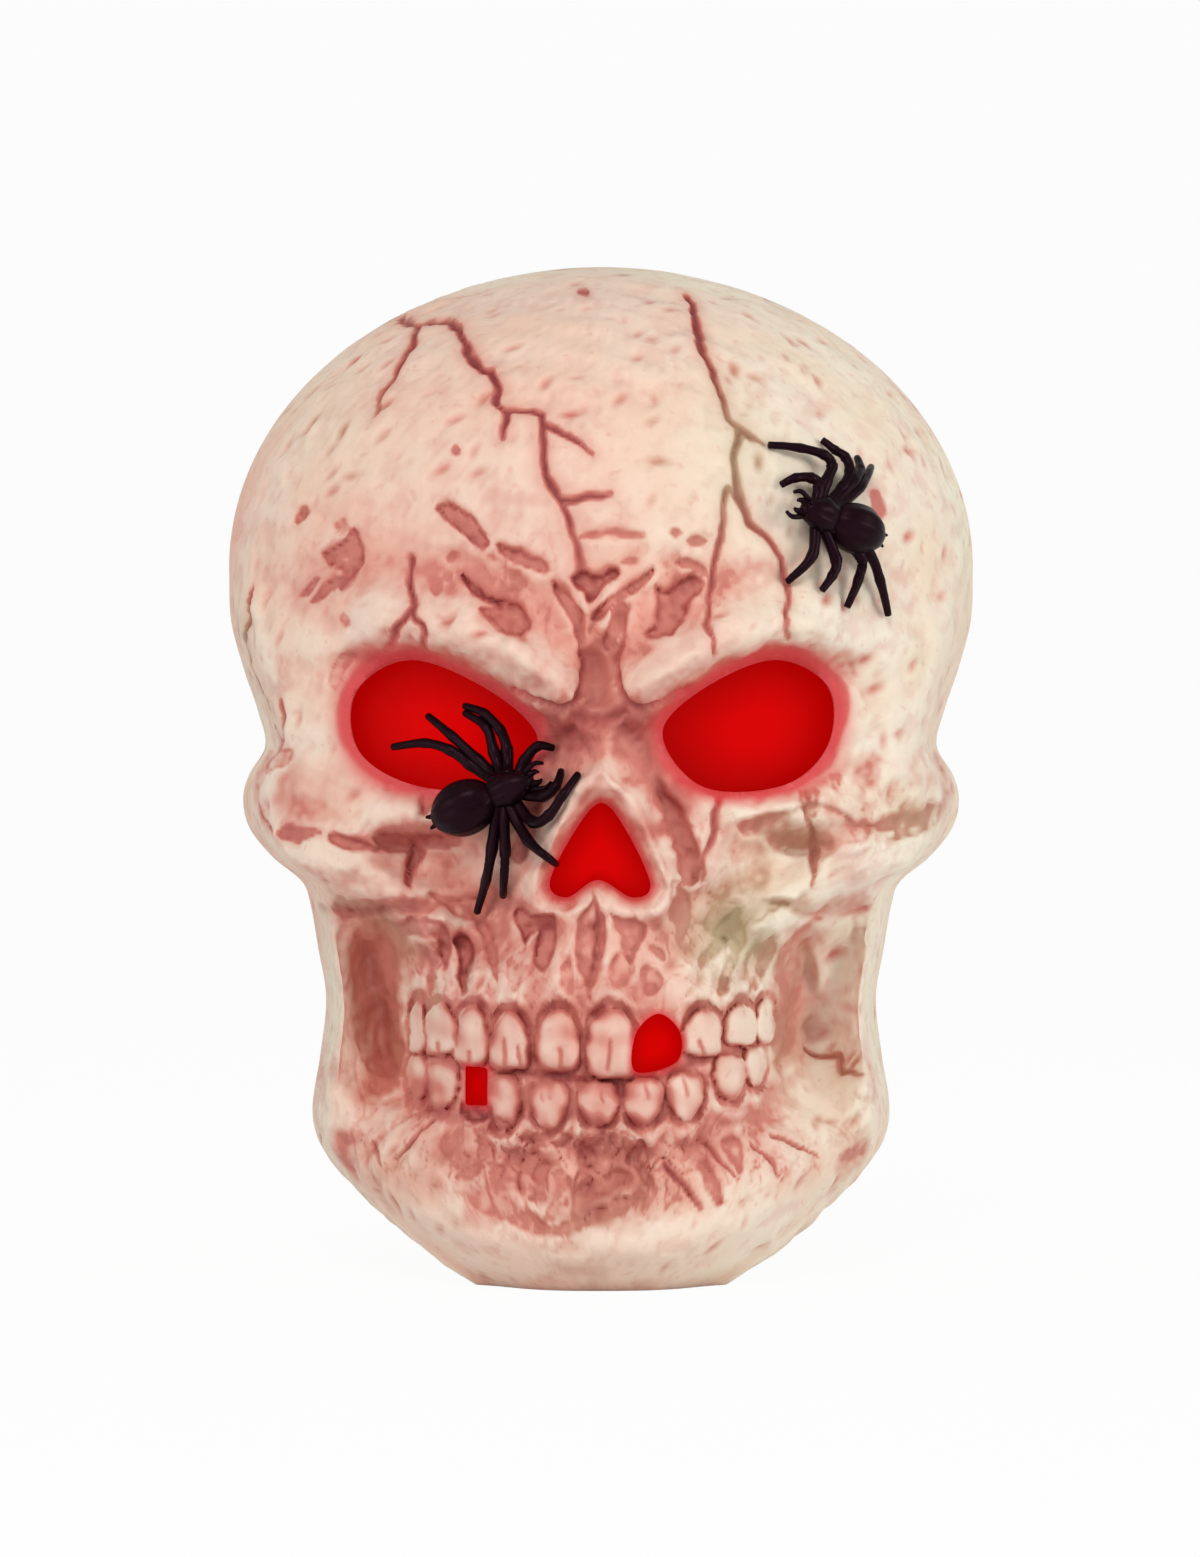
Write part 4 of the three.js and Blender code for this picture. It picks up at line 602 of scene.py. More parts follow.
def makeGrid(name, columns, rows):  # a flat grid, the order of its points row by row, and their place across
    bm = bmesh.new()
    bmesh.ops.create_grid(bm, x_segments=columns, y_segments=rows, size=1.0)
    piece = pieceFrom(bm, name)
    co = np.empty(len(piece.data.vertices) * 3, np.float32)
    piece.data.vertices.foreach_get("co", co)
    co = co.reshape(-1, 3)
    order = np.lexsort((np.round(co[:, 0], 5), np.round(co[:, 1], 5)))
    u = co[order, 0].reshape(rows + 1, columns + 1).astype(float)
    return piece, order, u


def setVertices(piece, order, x, y, z, **values):  # places the grid and keeps values on its points
    mesh = piece.data
    co = np.empty((len(mesh.vertices), 3), np.float32)
    co[order] = np.stack([x.ravel(), y.ravel(), z.ravel()], axis=1) * mm
    mesh.vertices.foreach_set("co", co.ravel())
    for name, value in values.items():
        layer = mesh.attributes.new(name, "FLOAT", "POINT")
        data = np.empty(len(mesh.vertices), np.float32)
        data[order] = np.clip(value, 0, 1).ravel()
        layer.data.foreach_set("value", data)
    mesh.update()


def seatReach(name, x):
    seat, middle, turn = seats[name]
    return seat - (x - middle) * math.tan(math.radians(turn))


def nearStroke(points, u, v, margin):
    pts = np.array(points)
    near = (u > pts[:, 0].min() - margin) & (u < pts[:, 0].max() + margin)
    return near & (v > pts[:, 1].min() - margin) & (v < pts[:, 1].max() + margin)


def wobbled(u, v, wide, fine):
    return (u + wide * softNoise(u, v, 19, 5) + fine * softNoise(u, v, 8, 6),
            v + wide * softNoise(u, v, 19, 7) + fine * softNoise(u, v, 8, 8))


def addForms(u, v, reach):  # rolls of bone and the fields sunk beside the jaw
    wobbleU, wobbleV = wobbled(u, v, 3.0, 1.1)
    for points, width, height in rolls.values():
        near = nearStroke(points, u, v, 4 * width)
        away, share = strokeDistance(points, wobbleU[near], wobbleV[near])
        ends = smoothStep(0, 0.12, share) * smoothStep(0, 0.12, 1 - share)
        reach[near] += height * np.exp(-((away / width) ** 2)) * (0.35 + 0.65 * ends)
    for points, depth, *_ in hollows.values():
        near = nearStroke(points, u, v, 20)
        within = -outlineDistance(np.array(points, float), wobbleU[near], wobbleV[near])[0]
        reach[near] -= depth * smoothStep(-3, 26, within)
        reach[near] -= 0.8 * waveNoise(u[near], 0.5 * v[near], 26, 41) * smoothStep(0, 14, within)


def onSkin(points, step, place, u, v, y, facing):  # a flat polyline laid on the skin that faces its viewer
    pts = np.array(points, float)
    fine = [pts[0]]
    for a, b in zip(pts[:-1], pts[1:]):
        count = max(1, math.ceil(np.linalg.norm(b - a) / step))
        fine += [a + (b - a) * k / count for k in range(1, count + 1)]
    hidden = np.where(facing < 0.1, 1e6, 0)
    places = []
    for a, b in fine:
        gap = ((u - a) ** 2 + (v - b) ** 2 + hidden).ravel()
        closest = np.argpartition(gap, 6)[:6]
        weight = 1 / (gap[closest] + 0.01)
        places.append(place(a, b, (y.ravel()[closest] * weight).sum() / weight.sum()))
    return np.array(places)


def crackMarks(strokes, x, y, z, normal):  # cracks run along the skin itself: depth and wash
    drift = [0.3 * bodyNoise(x, y, z, 8, 60 + i) + 0.07 * bodyNoise(x, y, z, 3, 63 + i) for i in range(3)]
    drift = np.stack(drift, axis=-1)
    drift -= normal * (drift * normal).sum(axis=-1)[..., None]
    spread = 0.95 + 0.1 * bodyNoise(x, y, z, 6, 66)
    sink, paint = np.zeros(x.shape), np.zeros(x.shape)
    for places, width, depth, wash in strokes:
        near = np.ones(x.shape, bool)
        for c, line in zip((x, y, z), places.T):
            near &= (c > line.min() - 6) & (c < line.max() + 6)
        moved = (c[near] + drift[near, i] for i, c in enumerate((x, y, z)))
        away, share = strokeDistance(places, *moved, normal=normal[near])
        taper = np.clip(1.35 - 0.75 * share, 0.5, 1) * spread[near]
        core = np.exp(-((away / (width * np.clip(taper, 0.8, 1))) ** 2))
        lip = np.exp(-(((away - 2.2 * width) / (1.2 * width)) ** 2))
        sink[near] = np.maximum(sink[near], depth * core * taper) - 0.12 * depth * lip
        tint = np.maximum(core * np.clip(taper + 0.1, 0, 1), 0.16 * np.exp(-((away / (3.2 * width)) ** 2)))
        paint[near] = np.maximum(paint[near], wash * tint)
    return sink, paint


def addMarks(u, v, reach, paint):  # grooves and chips of the face
    wobbleU, wobbleV = wobbled(u, v, 3.0, 1.1)
    for points, width, depth, wash in grooves.values():
        near = nearStroke(points, u, v, 6 * width)
        away, share = strokeDistance(points, wobbleU[near], wobbleV[near])
        taper = 0.5 + 0.5 * np.sin(np.pi * np.clip(share, 0.02, 0.98)) ** 0.6
        core = np.exp(-((away / (width * taper)) ** 2))
        reach[near] -= depth * core * taper
        streak = 0.75 + 0.35 * softNoise(u[near], v[near], 6, 10)
        paint[near] = np.maximum(paint[near], 0.7 * wash * core * streak)
    wobbleU, wobbleV = wobbled(u, v, 0.8, 1.6)
    for points, depth, wash in chips.values():
        near = nearStroke(points, u, v, 26)
        within = -outlineDistance(closedCurve(points, 4), wobbleU[near], wobbleV[near])[0]
        core = smoothStep(-1.4, 3.4, within)
        uneven = 0.92 + 0.07 * waveNoise(u[near], v[near], 17, 13)
        reach[near] += 0.2 * depth * np.exp(-(((within + 5) / 3.5) ** 2)) - 1.25 * depth * core * uneven
        line = np.exp(-(((within - 1.4) / 2.1) ** 2))
        patch = 0.56 * core * (0.86 + 0.2 * waveNoise(u[near], v[near], 12, 14)) + 0.54 * line
        paint[near] = np.maximum(paint[near], wash * patch)
        paint[near] = np.maximum(paint[near], 0.2 * wash * np.exp(-((np.minimum(within, 0) / 10) ** 2)))


def pockmarks(x, y, z, normal, area, count, seed):  # small slanting dents all round the bone: depth and wash
    source = np.random.default_rng(seed)
    depth, paint = np.zeros(x.shape), np.zeros(x.shape)
    for index in source.choice(x.size, count, p=(area / area.sum()).ravel()):
        row, column = np.unravel_index(index, x.shape)
        near = np.s_[max(row - 14, 0):row + 15, max(column - 14, 0):column + 15]
        n = normal[row, column]
        level = np.array([-n[1], n[0], 0]) / max(math.hypot(n[0], n[1]), 1e-6)
        rise = np.cross(n, level)
        dx, dy, dz = x[near] - x[row, column], y[near] - y[row, column], z[near] - z[row, column]
        du = dx * level[0] + dy * level[1] + dz * level[2]
        dv = dx * rise[0] + dy * rise[1] + dz * rise[2]
        share, turn = source.uniform() ** 2, math.radians(source.normal(48, 24))
        size, deep = 0.5 + 1.0 * share, 0.14 + 0.5 * share
        long = (du * math.cos(turn) + dv * math.sin(turn)) / (size * 1.7)
        wide = (-du * math.sin(turn) + dv * math.cos(turn)) / (size * 0.8)
        core = np.exp(-(long**2 + wide**2))
        depth[near] += deep * core
        paint[near] = np.maximum(paint[near], (0.06 + 0.36 * share**2) * core)
    return depth, paint


def seenShare(normal):  # 1 where the picture shows the skin, 0 where it runs away sideways or over the crown
    under = np.maximum(-normal[..., 2], 0) * smoothStep(0.6, 0.3, np.abs(normal[..., 0]))
    return smoothStep(0.14, 0.4, under - normal[..., 1])


def sideTones(x, y, z):  # tints away from the front, the same on both halves: pink that paints the red lamps' glow through the shell, and lime
    blush = 0.31 - 0.2 * x / skull["domeHalfWidth"] + 0.13 * bodyNoise(x, y, z, 46, 20)
    return np.clip(blush, 0, 1), np.clip(0.25 + 0.22 * bodyNoise(x, y, z, 38, 21), 0, 1)


# rough, darkened, lightened and tinted places of the face, in the picture's pixels: middle, radius and
# strength
crumpleSpots = [
    ((560, 1172), 80, 0.8), ((660, 1155), 60, 0.7), ((470, 1140), 60, 0.6), ((560, 960), 90, 0.4),
    ((700, 950), 70, 0.5), ((440, 960), 50, 0.5), ((760, 1150), 60, 0.45), ((385, 1140), 45, 0.45),
    ((600, 640), 50, 0.4), ((520, 590), 60, 0.35), ((680, 580), 60, 0.35), ((700, 840), 60, 0.3),
    ((420, 850), 60, 0.2), ((880, 820), 60, 0.3), ((600, 740), 45, 0.3), ((540, 800), 40, 0.3),
    ((330, 560), 50, 0.3), ((255, 680), 40, 0.3), ((950, 700), 40, 0.3), ((850, 1080), 60, 0.5),
    ((330, 1060), 50, 0.4),
]
# painted light on the side of the jaw, where the lamps leave it in shade
paintedLightSpots = [
    ((845, 1000), 50, 1.0), ((842, 1060), 38, 1.0), ((800, 1098), 38, 0.8), ((845, 940), 34, 0.9),
]
# darker spots: broad wash, partly painted shade in the low places of the face
shadeAndStainSpots = [
    ((675, 800), 32, 0.24), ((600, 1215), 45, 0.32), ((662, 825), 28, 0.28), ((664, 770), 24, 0.3),
    ((842, 826), 30, 0.2), ((600, 665), 42, 0.16), ((600, 730), 42, 0.44), ((560, 740), 30, 0.30),
    ((645, 740), 30, 0.28), ((540, 945), 60, 0.24), ((450, 930), 50, 0.26), ((610, 985), 60, 0.16),
    ((560, 1120), 90, 0.24), ((540, 1175), 60, 0.08), ((620, 1175), 45, 0.1), ((480, 1195), 45, 0.16),
    ((700, 1130), 60, 0.2), ((720, 940), 60, 0.26), ((500, 590), 60, 0.18), ((680, 600), 50, 0.18),
    ((590, 560), 50, 0.12), ((345, 560), 40, 0.2), ((300, 700), 40, 0.14), ((420, 880), 60, 0.06),
    ((690, 830), 40, 0.2), ((800, 830), 60, 0.12), ((330, 1080), 50, 0.14), ((440, 1130), 50, 0.2),
    ((540, 850), 40, 0.2), ((275, 780), 40, 0.16), ((920, 790), 40, 0.12), ((480, 530), 50, 0.1),
]
# here the painted shade of low places is weakened
calmSpots = [
    ((415, 858), 55, 0.85), ((810, 850), 60, 0.7), ((560, 1180), 70, 0.45), ((330, 800), 45, 0.5),
    ((790, 590), 50, 0.8), ((880, 590), 55, 0.8), ((960, 600), 50, 0.6), ((290, 600), 55, 0.7),
    ((390, 585), 40, 0.5), ((545, 625), 45, 0.7), ((815, 1095), 42, 0.9), ((850, 1010), 60, 0.9),
    ((845, 915), 40, 0.7), ((750, 860), 40, 0.5), ((720, 1150), 45, 0.6), ((390, 1100), 35, 0.6),
]
# pink tint that paints the red lamps' glow through the shell, stronger or weaker here
blushSpots = [
    ((330, 800), 50, -0.2), ((520, 480), 130, -0.06), ((610, 690), 90, 0.6), ((345, 560), 60, 0.35),
    ((460, 860), 120, 0.3), ((600, 930), 110, 0.4), ((600, 1150), 140, 0.28), ((400, 1010), 90, 0.3),
    ((670, 1090), 80, 0.25), ((600, 1060), 150, 0.3), ((780, 1180), 90, 0.25), ((700, 640), 70, 0.45),
    ((640, 330), 100, -0.05), ((510, 640), 70, 0.3), ((600, 1278), 65, -0.85), ((470, 1240), 60, -0.6),
    ((730, 1235), 70, -0.5), ((725, 935), 60, -0.5), ((770, 890), 60, -0.3), ((700, 450), 70, -0.25),
]
limeSpots = [
    ((725, 455), 75, 0.9), ((330, 430), 60, 0.5), ((765, 912), 50, 0.7), ((725, 945), 50, 0.8),
    ((915, 822), 40, 0.6), ((850, 1090), 60, 0.5), ((800, 828), 40, 0.45), ((620, 1268), 80, 0.4),
    ((400, 1195), 50, 0.4), ((830, 650), 60, 0.2),
]
creases = [(17, 44, 0.8, 0.3), (8, 46, 0.6, 0.3), (5, 49, 0.32, 0.2)]  # cell, seed, depth and wash
lowShading = {  # painted shade, with some wash, in low places: radius in cells, depth and strength
    "fine": (2.6, 0.6, 0.3), "middling": (7.0, 1.7, 0.26), "broad": (16.0, 5.0, 0.2),
}
# the band paints shade in the recess round each eye, stronger above it; glow paints the lamp light on the rim
eyeRim = {  # in millimetres; outer adds towards the temples, high above the middle of the eye
    "slope": 4.6, "slopeHigh": -0.6, "lidRun": 16, "lidRise": 0.7, "lidFall": 0.05, "glow": 3.1,
    "glowOuter": 1.7, "band": 1.3, "bandHigh": 1.1, "bandOuter": 0.8, "bandLumps": 0.3, "wash": 0.5,
    "washHigh": 0.04,
}
noseRim = {"slope": 3.0, "band": 1.3, "wash": 0.3}


def spots(listed, u, v):
    total = np.zeros(u.shape)
    for (cu, cv), radius, strength in listed:
        total += strength * np.exp(-((u - cu) ** 2 + (v - cv) ** 2) / radius**2)
    return np.clip(total, 0, 1)


def faceGrid():  # rows lie closer where the face is busy, and columns gather in its middle
    rowZ = []
    for low, high, step in skull["faceBands"]:
        rowZ.append(np.linspace(low, high, round((high - low) / step) + 1)[:-1])
    domeRise = skull["height"] - skull["domeCentre"]
    first = math.asin((skull["faceBands"][-1][1] - skull["domeCentre"]) / domeRise)
    share = np.linspace(0, 1, skull["domeRows"] + 1)
    arc = first + (math.pi / 2 - first) * (0.5 * share + 0.5 * share**2)
    rowZ = np.concatenate(rowZ + [skull["domeCentre"] + domeRise * np.sin(arc)])
    piece, order, u = makeGrid("faceSkin", skull["columns"], len(rowZ) - 1)
    z = np.repeat(rowZ[:, None], skull["columns"] + 1, axis=1)
    angle = math.pi / 2 * (0.66 * u + 0.34 * u**3)
    return piece, order, frontWidth(z) * np.sin(angle), z


def onOutlines(x, z):  # points that lie close to an opening move onto its outline
    held = {}
    for name, outline in outlines.items():
        away, nearX, nearZ = outlineDistance(outline, x, z)
        onEdge = np.abs(away) < skull["edgeCatch"]
        x = np.where(onEdge, nearX, x)
        z = np.where(onEdge, nearZ, z)
        held[name] = (np.where(onEdge, 0.0, away), onEdge)
    return x, z, held


def raiseTeeth(pu, pv, reach):  # adds to reach: teeth in dark seams, raised gum edges and roots beyond them
    tu = pu + 1.6 * softNoise(pu, pv, 13, 24) + 0.8 * softNoise(pu, pv, 6, 25)
    tv = pv + 1.4 * softNoise(pu, pv, 11, 26)
    rise, skirt, collar, roots, neck, paint = (np.zeros(pu.shape) for _ in range(6))
    for box in upperTeeth + lowerTeeth:
        left, right, gum, edge = box
        row = teeth["upper"] if edge > gum else teeth["lower"]
        on = tooth(box, tu, tv, *teeth["crownGrow"])
        rise = np.maximum(rise, on * row["stands"])
        along = np.clip((tv - gum) / (edge - gum), 0, 1)
        neck = np.maximum(neck, on * (1 - along) ** 2)
        skirt = np.maximum(skirt, tooth(box, tu, tv, *teeth["skirtGrow"]))
        gumEdge = tooth(box, tu, tv, *teeth["collarGrow"]) * smoothStep(0.62, 0.3, along)
        collar = np.maximum(collar, gumEdge)
        middle, half = (left + right) / 2, (right - left) / 2
        beyond = (gum - tv) / row["root"]  # 0 at the gum, 1 at the root's end
        lean = (middle - teeth["middle"]) * row["lean"] * np.clip(beyond, 0, 1)
        across = (tu - middle + lean) / (half * teeth["rootWidth"])
        ridge = np.exp(-(across**2)) * np.clip(1 - beyond, 0, 1)
        roots = np.maximum(roots, ridge * smoothStep(-0.05, 0.15, beyond))
    seam = np.clip(skirt - rise, 0, 1)
    for points in toothNicks:
        nick = np.exp(-((strokeDistance(points, tu, tv)[0] / teeth["nickWidth"]) ** 2)) * rise
        reach -= teeth["nickDepth"] * nick
        paint = np.maximum(paint, 0.5 * nick)
    away, share = strokeDistance(biteLine, tu, tv)
    ends = smoothStep(0, 0.04, share) * smoothStep(0, 0.04, 1 - share)
    bite = np.exp(-((away / teeth["biteWidth"]) ** 2)) * ends
    reach += teeth["rise"] * rise + teeth["collar"] * np.clip(collar - skirt, 0, 1) + teeth["roots"] * roots
    reach -= teeth["seam"] * seam + teeth["biteDepth"] * bite * (1 - rise)
    worn = (0.8 + 0.3 * waveNoise(pu, pv, 24, 43)) * (1 - 0.35 * smoothStep(650, 740, pu))
    paint = np.maximum(paint, 0.76 * seam * worn)
    paint = np.maximum(paint, (0.68 - 0.3 * smoothStep(670, 740, pu)) * bite * (1 - 0.8 * rise))
    tint = 0.04 + 0.12 * smoothStep(690, 600, pu) + 0.2 * neck + 0.4 * smoothStep(0.95, 0.5, rise)
    paint = np.maximum(paint, tint * smoothStep(0.05, 0.4, rise) * worn)
    between = smoothStep(995, 1012, pv) * smoothStep(1132, 1118, pv)
    between = between * smoothStep(398, 412, pu) * smoothStep(782, 768, pu)
    paint = np.maximum(paint, 0.3 * between * (1 - skirt) * worn)
    return paint, rise, skirt, bite


def roughen(x, z, pu, pv, reach, paint, skirt):  # lumps, sunk patches and winding creases of the rough bone
    front = seenShare(gridNormals(x, -reach, z)[0])
    free = spots(crumpleSpots, pu, pv) * (1 - skirt) * front
    reach += 0.75 * bodyNoise(x, -reach, z, 13, 30) * free + 0.3 * bodyNoise(x, -reach, z, 6, 31) * free
    field = bodyNoise(x, -reach, 0.8 * z, 9, 33) + 0.3 * bodyNoise(x, -reach, z, 4.5, 34)
    sunk = smoothStep(0.35, 0.85, field)
    reach -= 0.6 * sunk * free
    paint = np.maximum(paint, 0.2 * sunk * free)
    lines = np.zeros(x.shape)
    for cell, seed, deep, tint in creases:
        field = bodyNoise(x, -reach, 0.75 * z, cell, seed)
        field = field + 0.3 * bodyNoise(x, -reach, z, 0.45 * cell, seed + 1)
        crease = np.exp(-((field / 0.15) ** 2)) * free
        reach -= deep * crease
        lines = np.maximum(lines, tint * crease)
    cloud = 0.75 + 0.28 * bodyNoise(x, -reach, z, 12, 37) + 0.2 * bodyNoise(x, -reach, z, 5, 38)
    paint = np.maximum(paint, spots(shadeAndStainSpots, pu, pv) * np.clip(cloud, 0, 1.3)) + lines
    addForms(pu, pv, reach)
    before = reach.copy()
    addMarks(pu, pv, reach, paint)
    return before + (reach - before) * front, paint * front, free


def sinkSockets(x, z, reach, held):  # the skin dips to a rim round each pane and is cut out inside it
    opening = np.zeros(x.shape)
    floors = {}
    for name, (away, onEdge) in held.items():
        isEye = name.startswith("eye")
        if isEye or name.startswith("nose"):
            rimLevel = seatReach(name, x) + skull["rim"]
            out = np.clip(away, 0, None)
            slope = noseRim["slope"]
            if isEye:
                high = smoothStep(-4, 8, z - outlines[name][:, 1].mean())
                slope = eyeRim["slope"] + eyeRim["slopeHigh"] * high
                lid = smoothMax(reach, rimLevel + eyeRim["lidRise"] - eyeRim["lidFall"] * out**2, 4.0)
                reach = np.where(out < eyeRim["lidRun"], lid, reach)
            reach = rimLevel + (reach - rimLevel) * np.sqrt(1 - (1 - np.clip(out / slope, 0, 1)) ** 2)
            floors[name] = rimLevel
        opening = np.where(onEdge, 0.5, np.where(away < 0, 1.0, opening))
    return reach, opening, floors


def lowShadeAndWash(z, pu, pv, shown, paint, rise, normal):  # painted shade, with some wash, where the skin is below its surroundings; painted shadow under ledges and on faces turned down, painted highlights on crests and lit edges, and wash with painted shade in the sunk fields
    front = seenShare(normal)
    # painted shade, with some wash, in low places at three sizes
    low = sum(share * np.clip((blurred(shown, radius) - shown) / depth, 0, 1)
              for radius, depth, share in lowShading.values())
    # painted highlight where the skin stands above its surroundings
    crest = np.clip((shown - blurred(shown, 6.0)) / 1.1, 0, 1)
    streak = 0.85 + 0.18 * waveNoise(pu, pv, 34, 22) + 0.16 * waveNoise(pu, pv, 12, 23)
    lowShade = low * streak * front - 0.12 * crest
    # painted shadow on the lower side of each ledge, and a painted highlight on its lit side
    relief = blurred(shown - blurred(shown, 5.0), 1.3)
    ledge = np.clip(np.gradient(relief, axis=0) / np.gradient(z, axis=0) / 0.45, -1, 1) * front
    lowShade = lowShade * (1 - spots(calmSpots, pu, pv)) + 0.2 * np.maximum(ledge, 0) * (1 - rise)
    crest = np.maximum(crest, -0.8 * ledge)
    wash = np.clip(np.maximum(np.minimum(paint + lowShade, 0.46), paint + 0.3 * lowShade), 0, 1)
    # painted shade on faces that turn downwards
    under = smoothStep(0.1, 0.7, -normal[..., 2]) * smoothStep(22, 36, z) * (1 - rise)
    under = under * (1 - 0.7 * smoothStep(640, 800, pu)) * streak * front
    wash = np.clip(wash + 0.2 * under, 0, 1)
    # wash and painted shade in the sunk fields beside the jaw, darkest beside the muzzle
    for points, _, most, (pale, dark) in hollows.values():
        within = -outlineDistance(np.array(points, float), pu, pv)[0]
        tint = most * (0.3 + 0.7 * np.clip((pu - pale) / (dark - pale), 0, 1)) * (0.8 + 0.2 * streak)
        wash = wash + (tint - wash) * smoothStep(-4, 9, within)
    return wash, crest, streak, front


def tintRims(x, z, wash, streak, lumpy, held):  # painted shade round the eyes, a thin wash round the nose, and painted lamp light on every rim
    edge, lit = np.ones(x.shape), np.zeros(x.shape)
    outer = smoothStep(34, 48, np.abs(x))
    for name, (away, _) in held.items():
        isEye = name.startswith("eye")
        lit = np.maximum(lit, np.clip(1 - np.abs(away) / 1.6, 0, 1) ** 1.4)
        edge = np.minimum(edge, np.clip(np.abs(away) / (1.7 if isEye else 1.0), 0, 1))
        if isEye:
            run = eyeRim["glow"] + eyeRim["glowOuter"] * outer
            lit = np.maximum(lit, np.clip(1.3 - np.abs(away) / run, 0, 1) ** 1.4)
            high = smoothStep(-10, 6, z - outlines[name][:, 1].mean())
            width = eyeRim["band"] + eyeRim["bandHigh"] * high + eyeRim["bandOuter"] * outer
            width = width + eyeRim["bandLumps"] * lumpy
            # painted shade in the recess round the eye
            band = (eyeRim["wash"] + eyeRim["washHigh"] * high) * smoothStep(width + 0.8, width - 1.1, away)
            wash = np.maximum(wash, band * (0.85 + 0.2 * streak))
        if name.startswith("nose"):
            wash = np.maximum(wash, noseRim["wash"] * np.exp(-((away / noseRim["band"]) ** 2)))
    return wash, lit, edge


def buildFace():
    piece, order, x, z = faceGrid()
    x, z, held = onOutlines(x, z)
    plain, reach, across = faceReach(x, z)
    reach = blurred(reach, 3.5)
    pu, pv = seenAt(x, -reach, z)
    paint, rise, skirt, bite = raiseTeeth(pu, pv, reach)
    reach, paint, free = roughen(x, z, pu, pv, reach, paint, skirt)
    reach, opening, floors = sinkSockets(x, z, reach, held)
    reach = plain + (reach - plain) * smoothStep(0, 0.1, 1 - across)
    shown = reach.copy()
    for name, floor in floors.items():
        shown = np.where(held[name][0] < 0, floor, shown)

    normal, area = gridNormals(x, -blurred(shown, 2.0), z)
    wash, crest, streak, front = lowShadeAndWash(z, pu, pv, shown, paint, rise, normal)
    # the second set of spots is painted light: less wash and a paler tone there
    green, pale = spots(limeSpots, pu, pv), spots(paintedLightSpots, pu, pv)
    wash = wash * (1 - 0.3 * green) * (1 - 0.6 * pale)
    crest = np.maximum(crest, pale)
    gums = np.clip(skirt - 0.6 * bite, 0, 1)
    wash = wash + (np.minimum(wash, 0.64 + 0.12 * streak) - wash) * smoothStep(0.1, 0.5, gums)
    wash, lit, edge = tintRims(x, z, wash, streak, bodyNoise(x, -shown, z, 9, 48), held)

    dents, dentPaint = pockmarks(x, -shown, z, normal, area, skull["facePits"], 35)
    lumps = bodyNoise(x, -shown, z, 6.5, 40) + 0.6 * bodyNoise(x, -shown, z, 3.4, 41)
    dents += 0.16 * (bodyNoise(x, -shown, z, 11, 39) + 1.2) * (1 - free) + 0.1 * (lumps + 1.5)
    wash = np.clip(wash + 0.05 * np.clip(lumps, -0.6, 1.6) * (1 - rise), 0, 1)
    strokes = []
    for points, width, depth, tint in cracks.values():
        laid = onSkin(points, 5, fromPicture, pu, pv, -shown, -normal[..., 1])
        strokes.append((laid, max(0.22 * width, 0.8), depth, tint))
    sink, crackPaint = crackMarks(strokes, x, -shown, z, normal)
    dents += sink
    wash = np.maximum(wash, np.clip(1.25 * crackPaint, 0, 0.95) * (1 - 0.3 * green))
    wash = np.maximum(wash, dentPaint * (1 - rise))
    dents *= smoothStep(0, 8, z) * smoothStep(205, 198, z) * smoothStep(0, 0.04, 1 - across)
    dents *= (1 - rise) * smoothStep(0, 1, edge)

    # pink tint that paints the red lamps' glow through the shell, fading to the right and stronger on the
    # teeth
    warm = (0.46 + 0.16 * smoothStep(430, 620, pv)) * (1 - smoothStep(560, 840, pu))
    warm = warm * (0.5 + 0.5 * smoothStep(235, 400, pu)) + 0.16 + spots(blushSpots, pu, pv)
    warm = np.clip(warm + 0.3 * rise * (1 - smoothStep(620, 780, pu)), 0, 1)
    sideWarm, sideGreen = sideTones(x, -reach, z)
    turned = smoothStep(0.2, 0.5, -normal[..., 1])
    x, y, z = (c - normal[..., i] * dents for i, c in enumerate((x, -reach, z)))
    setVertices(piece, order, x, y, z, wash=wash, glow=lit, blush=sideWarm + (warm - sideWarm) * turned,
                lime=sideGreen + (green - sideGreen) * turned, crest=crest * front, opening=opening)
    return piece


def openingNear(x, z):  # the opening whose outline lies closest to each point
    names = list(outlines)
    away = np.stack([np.abs(outlineDistance(outlines[name], x, z)[0]) for name in names])
    return [names[k] for k in away.argmin(axis=0)]


def pushOut(bm, edges, place):  # extrudes a run of edges and puts the new points where place says
    new = bmesh.ops.extrude_edge_only(bm, edges=edges)["geom"]
    verts = [v for v in new if isinstance(v, bmesh.types.BMVert)]
    place(verts)
    return [e for e in new if isinstance(e, bmesh.types.BMEdge) and e.is_boundary]


touch = 0.01 * mm  # points this close to a plane lie in it
parting = {"step": 0.9965, "inward": 0.975, "downward": 0.97, "below": 0.2}


def finishFoot(bm):  # a lip under the skull, in to the base plate's opening, and a short way up inside
    foot = [e for e in bm.edges if e.is_boundary and all(v.co.z < touch for v in e.verts)]

    def closeIn(verts):
        for v in verts:
            reach, power = skull["footFront"] if v.co.y < 0 else skull["footRear"]
            across, along = abs(v.co.x / mm / skull["footHalfWidth"]), abs(v.co.y / mm / reach)
            share = max((across**power + along**power) ** (1 / power), 1.02)
            v.co.x /= share
            v.co.y /= share

    def lift(verts):
        for v in verts:
            v.co.z = skull["footLift"] * mm

    pushOut(bm, pushOut(bm, foot, closeIn), lift)


def finishParting(bm):  # the halves meet in the plane y = 0 with a fine turned-in edge
    edges = [e for e in bm.edges if e.is_boundary
             and all(abs(v.co.y) < touch and v.co.z > -1e-6 for v in e.verts)]

    def turnIn(verts):
        for v in verts:
            middle = min(v.co.z, skull["domeCentre"] * mm)
            v.co.x *= parting["inward"]
            v.co.z = middle + (v.co.z - middle) * parting["downward"]

    for v in {v for e in edges for v in e.verts}:
        v.co.x *= parting["step"]
        v.co.z = min(v.co.z, (skull["height"] - parting["below"]) * mm)
    pushOut(bm, edges, turnIn)


